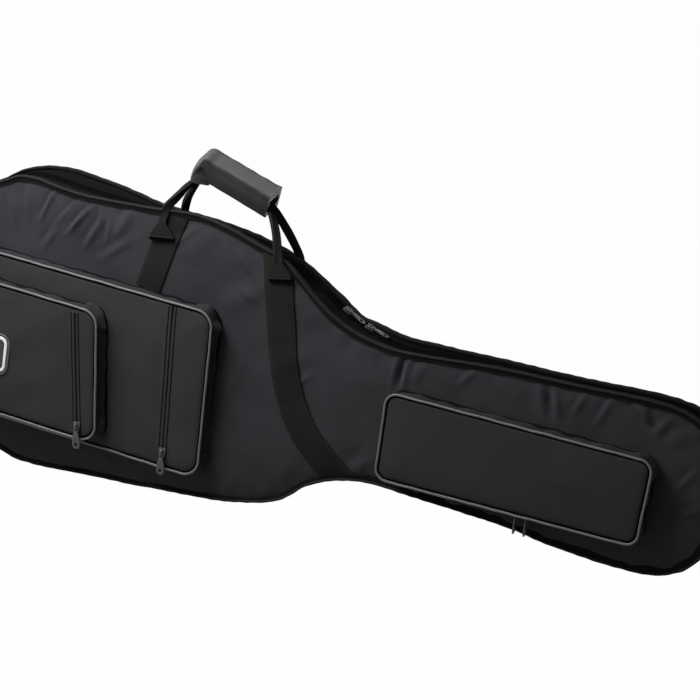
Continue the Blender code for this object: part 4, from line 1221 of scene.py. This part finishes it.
# Webbing
def webbing(line, wide, width, thick, finish=0):
    # A flat woven strap along a line, with the direction across it at every point
    line = np.asarray(line, float)
    way = ways(line)
    wide = unit(np.asarray(wide) - way * (np.asarray(wide) * way).sum(1, keepdims=True))
    up = np.cross(way, wide)
    width = np.broadcast_to(width, len(line))
    thick = np.broadcast_to(thick, len(line))
    far = travel(line)
    rows = []
    uv = []
    for k in range(len(line)):
        rows.append([line[k] + wide[k] * w * width[k] / 2 + up[k] * t * thick[k] / 2 for w, t in WEB_SECTION])
        uv.append([(w * width[k] / 2 * MM, far[k] * MM) for w, t in WEB_SECTION])
    return tube(rows, finish, np.array(uv))


def inside_rim(points, rim):
    # Which points lie inside a closed line
    x, z = points[:, 0, None], points[:, 1, None]
    ax, az = rim[None, :, 0], rim[None, :, 1]
    bx, bz = np.roll(ax, -1, 1), np.roll(az, -1, 1)
    cross = ((az > z) != (bz > z)) & (x < (bx - ax) * (z - az) / np.where(bz == az, 1e-9, bz - az) + ax)
    return cross.sum(1) % 2 == 1


def sewn_strap(name, path, width, surface, rim, out, body, node):
    # A strap laid on a panel's cloth, cut off where it meets the edge, with stitches along both sides
    flat = curve_through(path, 500)
    side = left_of(ways(flat))

    def along(shift, height):
        # One line of the strap at its own distance from the middle
        line = flat + side * shift
        kept = line[inside_rim(line, rim)]
        kept = kept[np.linspace(0, len(kept) - 1, 90).round().astype(int)]
        return at_depth(kept, surface(kept[:, 0], kept[:, 1]) + out * (STRAP_LIFT + height))

    rows = np.stack([along(w * width / 2, STRAP_THICK * (1 + t) / 2) for w, t in WEB_SECTION], 1)
    uv = np.stack([np.broadcast_to([w * width / 2 * MM for w, t in WEB_SECTION], rows.shape[:2]),
                   lengths(metres(rows), 0)], 2)
    meshes = [tube(rows, 0, uv)]
    for shift in (3.0 - width / 2, width / 2 - 3.0):
        meshes.append(stitch_row(along(shift, STRAP_THICK), (0, out, 0), STRAP_STITCH, 1))
    piece(name, meshes, [WEBBING, THREAD], body, [node])


GRIP_LINE = curve_through(GRIP_PATH, 240)


def grip_frame(share):
    # Middle, backward and upward directions at a share of the grip's length
    share = np.asarray(share, float)
    at = np.clip(share, 0, 1) * (len(GRIP_LINE) - 1)
    steps = np.arange(len(GRIP_LINE))
    spot = at_places(at, steps, GRIP_LINE)
    way = at_places(at, steps, ways(GRIP_LINE))
    normal = unit(np.stack([-way[..., 1], 0 * at, way[..., 0]], -1))
    lean = math.radians(GRIP_TILT)
    up = normal * math.cos(lean) + np.array((0, -math.sin(lean), 0))
    back = np.array((0, math.cos(lean), 0)) + normal * math.sin(lean)
    return np.stack([spot[..., 0], 0 * at + GRIP_Y, spot[..., 1]], -1), back, up


def grip_point(share, p, q):
    # A point in the grip's own section, which is smaller towards its left end
    centre, back, up = grip_frame(share)
    above = np.interp(share, [0, 0.12, 0.2, 0.27, 0.34, 1], [0.45, 0.52, 0.75, 1.03, 1.0, 1.02])
    below = np.interp(share, [0, 0.15, 0.3, 1], [0.95, 1.0, 1.0, 1.02])
    tall = np.where(np.asarray(q) > 0, above, below)
    deep = np.interp(share, [0, 0.15, 0.3, 1], [0.6, 0.85, 1, 1])
    corner = 3.4 * hump(np.asarray(share), 0.262, 0.035) * (np.asarray(q) > 0)
    return centre + back * np.expand_dims(p * deep, -1) + up * np.expand_dims(q * tall + corner, -1)


def handle_loop(name, left, right, step, surface, out, body, left_width, right_width):
    # Webbing folded double in the handle, which opens to its full width at its sewn ends
    def leg(points):
        rows = []
        for k, (x, y, z) in enumerate(points):
            lies = y is None
            depth = float(surface(np.array([x]), np.array([z]))[0]) + out * LOOP_LIFT if lies else y
            t = 0.0 if lies else 1 - k / len(points)
            rows.append((x, depth, z, 1 - t, t * 0.9, 0))
        return rows

    middle = grip_point(np.linspace(0.12, 0.93, 9), np.full(9, -0.3), np.full(9, step))
    back = grip_frame(np.linspace(0.12, 0.93, 9))[1]
    rows = leg(left)[::-1] + [(*m, *b) for m, b in zip(middle, back)] + leg(right)
    rows = curve_through(rows, 200)
    line, wide = rows[:, :3], rows[:, 3:]
    is_left = line[:, 0] < GRIP_MIDDLE[0]
    on_left = ease((left[-1][2] + 22 - line[:, 2]) / 20) * is_left
    on_right = ease((right[-1][2] + 22 - line[:, 2]) / 20) * ~is_left
    width = LEG_WIDTH + (left_width - LEG_WIDTH) * on_left + (right_width - LEG_WIDTH) * on_right
    thick = LOOP_THICK - LOOP_THINNER * (on_left + on_right)
    meshes = [webbing(line, wide, width, thick)]
    facing = np.array((0, out, 0))
    way = ways(line)
    side = unit(wide - way * (wide * way).sum(1, keepdims=True))
    lift = np.cross(way, side)
    lift *= np.sign((lift * facing).sum(1, keepdims=True))
    for keep in (is_left & (line[:, 2] < 205), ~is_left & (line[:, 2] < 200)):
        row = (line + lift * np.reshape(thick / 2, (-1, 1)) + side * 2.0)[keep]
        meshes.append(stitch_row(row, lift[keep], LOOP_STITCH, 1))
    for keep, wide_end in ((is_left, left_width), (~is_left, right_width)):
        here = line[keep]
        for rise in (3.0, 8.0):
            spot = np.argmin(np.abs(here[:, 2] - here[:, 2].min() - rise))
            across = np.linspace(-0.42, 0.42, 12)[:, None] * side[keep][spot] * wide_end
            bar = here[spot] + across + facing * 1.3
            meshes.append(stitch_row(bar, facing, LOOP_BAR_STITCH, 1))
        end = here[np.argmin(here[:, 2])]
        bar = end + np.linspace(-0.5, 0.5, 12)[:, None] * side[keep][np.argmin(here[:, 2])] * wide_end
        # A near black strip across each sewn end, painted shade
        meshes.append(webbing(bar, np.broadcast_to((0.0, 0.0, 1.0), bar.shape), 3.4, 2.9, 2))
    piece(name + "_webbing", meshes, [WEBBING, THREAD, SEAM_SHADE], body, [name])


def round_section(points, radius):
    # Rounds every corner of a closed section
    result = []
    for i, point in enumerate(points):
        here = np.array(point, float)
        before = np.array(points[i - 1], float) - here
        after = np.array(points[(i + 1) % len(points)], float) - here
        r = min(radius, 0.45 * np.linalg.norm(before), 0.45 * np.linalg.norm(after))
        a = here + unit(before) * r
        b = here + unit(after) * r
        for t in np.linspace(0, 1, ROUND_STEPS):
            result.append((1 - t) ** 2 * a + 2 * t * (1 - t) * here + t * t * b)
    return result


def grip_tube(section, end, count, seed, dent=0.0):
    # A section in the grip's frame swept along it, with soft unevenness and a dent near the bend
    rows = []
    for share in np.linspace(0, end, count):
        flare = 0.05 * math.exp(-(1 - share) / 0.04)
        shrink = 1 - dent * hump(share, 0.17, 0.07)
        rows.append([grip_point(share, np.array(p * (1 + flare) * shrink), np.array(q * (1 + flare)))
                     for p, q in section])
    rows = np.array(rows)
    uneven = ripples(rows[:, :, 0], rows[:, :, 1] + rows[:, :, 2], 24, seed)
    return rows + 0.35 * uneven[..., None] * np.array((0, 0.6, 0.8))


def handle():
    # Padded wrap and its flap, with rows of stitches
    meshes = [tube(grip_tube(round_section(WRAP_SECTION, 3), end=1.0, count=72, seed=41)),
              tube(grip_tube(round_section(CLOSING_SECTION, 2.5), end=0.3, count=30, seed=42, dent=0.3))]
    for share in (0.965, 0.03):
        p = np.linspace(-11, 12.5, 26)
        line = grip_point(np.full(26, share), p, 17.35 - 0.006 * (p + 1) ** 2)
        meshes.append(stitch_row(line, grip_frame(share)[2], SMALL_STITCH, 1))
    share = np.linspace(0.2, 0.98, 60)
    line = grip_point(share, np.full(60, 9.5), np.full(60, 16.6))
    meshes.append(stitch_row(line, grip_frame(share)[2], SMALL_STITCH, 1))
    made = piece("grip_wrap", meshes, [LEATHERETTE, THREAD], "rear_half", ["handle_wrap"])
    rows = []
    section = round_section(FLAP_SECTION, 1.6)
    for along in np.linspace(0, 1, 60):
        ring_points = []
        for p, q in section:
            start = 0.20 + 0.09 * (1 - (q + 17) / 34)
            ring_points.append(grip_point(start + (1.005 - start) * along, np.array(p), np.array(q)))
        rows.append(ring_points)
    rows = np.array(rows)
    rows[:, :, 1] += 0.35 * ripples(rows[:, :, 0], rows[:, :, 2], 26, seed=43)
    meshes = [tube(rows)]

    def on_flap(share, q):
        return grip_point(share, -14.75 + 0.0042 * q * q, q)

    share = np.linspace(0.27, 0.965, 60)
    for q in (12.8, 10.2, -14.0):
        meshes.append(stitch_row(on_flap(share, np.full(60, q)), -grip_frame(share)[1], FLAP_STITCH, 1))
    q = np.linspace(-14, 12.8, 24)
    for place in (0.965, 0.935):
        meshes.append(stitch_row(on_flap(np.full(24, place), q), -grip_frame(place)[1], FLAP_STITCH, 1))
    # The flap's darker cover is painted shade on its front face
    made = piece("grip_flap", meshes, [SHADED_FLAP_COVER, THREAD], "handle_flap", ["handle_flap"])


# Shoulder straps on the back
def cushion(side, flat, across):
    # Padded strap with a corded edge and a row of stitches along both sides
    rows = []
    for k, (p, n) in enumerate(zip(flat, across)):
        plump = 0.55 + 0.45 * ease(min(k, len(flat) - 1 - k) / 5)
        rows.append([(p[0] + n[0] * w * PAD_HALF, BACK + PAD_HEIGHT + t * PAD_PLUMP * plump,
                      p[1] + n[1] * w * PAD_HALF) for w, t in PAD_SECTION])
    meshes = [tube(rows)]
    for sign in (-1, 1):
        line = at_depth(flat + sign * across * CORD_PLACE, BACK + CORD_HEIGHT)
        out = np.insert(across, 1, 0.0, 1) * CORD_SIZE[0]
        deep = np.array((0, CORD_SIZE[1], 0))
        cord = [line + out * math.cos(a) + deep * math.sin(a) for a in full_turn(10)]
        # The cords use the lighter bead tape, a painted highlight
        meshes.append(tube(np.stack(cord, 1), 1))
        row = at_depth(flat + sign * across * PAD_SEAM, BACK + PAD_SEAM_HEIGHT)
        meshes.append(stitch_row(row[4:-4], (0, 1, 0), EDGE_STITCH, 2))
    made = piece("shoulder_cushion_" + side, meshes, [NYLON, HIGHLIGHT_TAPE, THREAD], "rear_half",
                 ["shoulder_pad_" + side])


def buckle(side, end, way_out, aside):
    # Ladder buckle: a frame with two bars that the lower webbing passes round
    axes = np.array(((way_out[0], 0, way_out[1]), aside, (0, 1, 0)))
    spot = np.array((end[0], BACK + PAD_HEIGHT, end[1])) + axes[0] * 13.4
    border = ring_plate(rounded_box(-13, 13, 17, 0.3), rounded_box(-10, 10, 13.4, 0.3), 4.6)
    meshes = [solid(border, axes, spot)]
    for at, tall in ((-3.5, 3.4), (4.0, 3.8)):
        bar = block((3.4, 30, tall))
        soften(bar, bar.edges[:], offset=0.9, segments=2)
        meshes.append(solid(bar, axes, spot + axes[0] * at))
    piece("ladder_buckle_" + side, meshes, [PLASTIC], "rear_half", ["strap_buckle_" + side])


def tail(side, start, far, aside):
    # Lower webbing, sewn down at its end with two bars of stitches
    steps = np.linspace(0, 1, 60)
    depth = BACK + 4.6 - 2.6 * ease((steps - 0.1) / 0.6) + 0.5 * np.sin(steps * 9)
    line = at_depth(start + (far - start) * steps[:, None], depth)
    meshes = [webbing(line, np.broadcast_to(aside, line.shape), TAIL_WIDTH, TAIL_THICK)]
    for share in (0.93, 0.97):
        bar = line[int(share * 59)] + np.linspace(-10, 10, 10)[:, None] * aside + np.array((0, 0.9, 0))
        meshes.append(stitch_row(bar, (0, 1, 0), TAIL_BAR_STITCH, 1))
    piece("shoulder_tail_" + side, meshes, [WEBBING, THREAD], "rear_half", ["shoulder_web_" + side])


def sewn_patch(name, line, aside, width, seam, node):
    # A flat patch with a row of stitches along both sides
    meshes = [webbing(line, np.broadcast_to(aside, line.shape), width, PATCH_THICK)]
    for shift in (-seam, seam):
        meshes.append(stitch_row(line + aside * shift + np.array((0, 1.0, 0)), (0, 1, 0), SMALL_STITCH, 1))
    piece(name, meshes, [NYLON, THREAD], "rear_half", [node])


def shoulder_straps():
    for side, mirror in (("upper", 1), ("lower", -1)):
        flat = curve_through(PAD_PATH, 80) * (1, mirror)
        way = ways(flat)
        cushion(side, flat, left_of(way))
        end, way_out = flat[-1], way[-1]
        aside = np.array((-way_out[1], 0.0, way_out[0]))
        buckle(side, end, way_out, aside)
        far = end + way_out * TAIL_TO
        tail(side, end + way_out * TAIL_FROM, far, aside)
        line = at_depth(np.linspace(far - way_out * ANCHOR_LENGTH, far, 20), BACK + 1.0)
        sewn_patch("shoulder_patch_" + side, line, aside, ANCHOR_WIDTH, 14, "strap_anchor_" + side)
    x = PAD_PATH[0][0]
    line = at_depth(np.linspace((x - YOKE_LENGTH, 0), (x, 0), 24), BACK + 1.2)
    sewn_patch("shoulder_top_patch", line, np.array((0.0, 0.0, 1.0)), YOKE_WIDTH, 62, "strap_yoke")


def cloth_hinge():
    # Strip of cloth that joins the two halves along the body's lower edge
    keep = np.array([k for k, (x, z) in enumerate(OUTLINE) if z < 0 and HINGE_ENDS[0] < x < HINGE_ENDS[1]])
    rows = []
    for share in np.linspace(0, 1, 14):
        bulge = 1.4 + 0.5 * math.sin(share * math.pi)
        rows.append(ring(bulge, HINGE_FRONT + HINGE_ACROSS * share, 0.5)[keep])
    # The strip uses the darkened gusset nylon, painted shade along the lower edge
    made = piece("cloth_hinge", [cloth(rows, 0, (0, 0, -1))], [SHADED_GUSSET], None, ["hinge_gusset"])
    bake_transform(made)


# The whole bag
front_half()
rear_half()
edge_tape("front_edge_tape", FOLDED_TAPE, 0, FRONT, -1, "front_half", "front_binding")
edge_tape("rear_edge_tape", FOLDED_TAPE, 1, DEPTH, 1, "rear_half", "rear_binding")
main_zip()
main_sliders()
cloth_hinge()
pocket("large", LARGE, BODY_RADIUS, LARGE_DEPTHS, LARGE_ZIP, bulge=2.6, flare=4.0, base_shade=7.5, seed=51)
pocket("small", SMALL, BODY_RADIUS, SMALL_DEPTHS, SMALL_ZIP, bulge=2.2, flare=7.0, base_shade=3.5, seed=61)
pocket("neck", NECK, NECK_RADIUS, NECK_DEPTHS, None, bulge=2.4, flare=2.0, base_shade=7.5, seed=71)
pocket_zips()
badge()
for name, node, path, width in (("front_short_strap", "front_strap_left", LEFT_STRAP, LEFT_STRAP_WIDTH),
                                ("front_long_strap", "front_strap_right", RIGHT_STRAP, RIGHT_STRAP_WIDTH)):
    sewn_strap(name, path, width, front_surface, FRONT_RIM, -1, "front_half", node)
for name, node, top, width in (("rear_short_strap", "rear_strap_left", REAR_STRAPS[0], LEFT_STRAP_WIDTH),
                               ("rear_long_strap", "rear_strap_right", REAR_STRAPS[1], RIGHT_STRAP_WIDTH)):
    path = [top, (top[0], REAR_STRAP_END)]
    sewn_strap(name, path, width, rear_surface, REAR_RIM, 1, "rear_half", node)
handle_loop("front_handle_loop", FRONT_LEG_LEFT, FRONT_LEG_RIGHT, 1.5, front_surface, -1, "front_half",
            *FRONT_END_WIDTHS)
handle_loop("rear_handle_loop", REAR_LEG_LEFT, REAR_LEG_RIGHT, -4.5, rear_surface, 1, "rear_half",
            *REAR_END_WIDTHS)
handle()
shoulder_straps()


# Stage: pale floor, white surround, soft studio light and the camera
FLOOR_DROP = -0.86
FLOOR_WHITE = 0.985
TARGET = Vector(metres((0, 6, 60)))
SENSOR = 36
LENS = 108
CAMERA_DISTANCE = 2.5
# Direction from the target to the camera, and the camera's roll
TO_RIGHT, UPWARD = 0.33, 0.30
AWAY = Vector((TO_RIGHT, -math.sqrt(1 - TO_RIGHT ** 2 - UPWARD ** 2), UPWARD))
ROLL = math.radians(9)

shape = bmesh.new()
bmesh.ops.create_grid(shape, x_segments=1, y_segments=1, size=9.0)
bmesh.ops.translate(shape, vec=(0, 0, FLOOR_DROP), verts=shape.verts)
mesh = bpy.data.meshes.new("floor")
shape.to_mesh(mesh)
shape.free()
floor = bpy.data.objects.new("floor", mesh)
bpy.context.scene.collection.objects.link(floor)
board = Board(bpy.data.materials.new("pale floor"), Roughness=0.9, Specular_IOR_Level=0.0,
              Base_Color=(0.40, 0.40, 0.40, 1.0))
board.white_when_seen("ShaderNodeEmission", FLOOR_WHITE, "Material Output")
mesh.materials.append(board.owner)

world = bpy.data.worlds.new("studio")
bpy.context.scene.world = world
board = Board(world, "Background", Color=(0.9, 0.95, 1.0, 1.0), Strength=0.10)
board.white_when_seen("ShaderNodeBackground", 1.0, "World Output")


def lamp(name, offset, power, size, colour):
    data = bpy.data.lights.new(name, "AREA")
    data.shape = "RECTANGLE"
    data.size, data.size_y = size
    data.energy = power
    data.color = colour
    item = bpy.data.objects.new(name, data)
    item.location = TARGET + Vector(offset)
    item.rotation_mode = "QUATERNION"
    item.rotation_quaternion = (-Vector(offset)).to_track_quat("-Z", "Y")
    bpy.context.scene.collection.objects.link(item)


lamp("upper left softbox", (-0.60, -0.41, 0.76), power=23, size=(0.8, 0.6), colour=(1.0, 0.97, 1.0))
lamp("front fill", (-0.6, -2.4, 0.3), power=3.6, size=(1.6, 1.6), colour=(0.92, 0.98, 1.0))
lamp("low left fill", (-0.95, -0.7, -0.25), power=0.9, size=(0.5, 0.5), colour=(0.95, 1.0, 0.97))
lamp("rear light", (-0.2, 1.7, -0.25), power=38, size=(1.2, 1.0), colour=(1.0, 0.98, 1.0))
lamp("right side fill", (1.6, -0.5, 0.1), power=1.6, size=(0.6, 0.6), colour=(1.0, 1.0, 1.0))

data = bpy.data.cameras.new("camera")
data.sensor_width = SENSOR
data.lens = LENS
data.clip_end = 50
camera = bpy.data.objects.new("camera", data)
right = Vector((0, 0, 1)).cross(AWAY).normalized()
up = AWAY.cross(right)
turned_right = right * math.cos(ROLL) + up * math.sin(ROLL)
turned_up = up * math.cos(ROLL) - right * math.sin(ROLL)
place = Matrix((turned_right, turned_up, AWAY)).transposed().to_4x4()
place.translation = TARGET + AWAY * CAMERA_DISTANCE
camera.matrix_world = place
bpy.context.scene.collection.objects.link(camera)
bpy.context.scene.camera = camera
bpy.context.scene.view_settings.view_transform = "Standard"
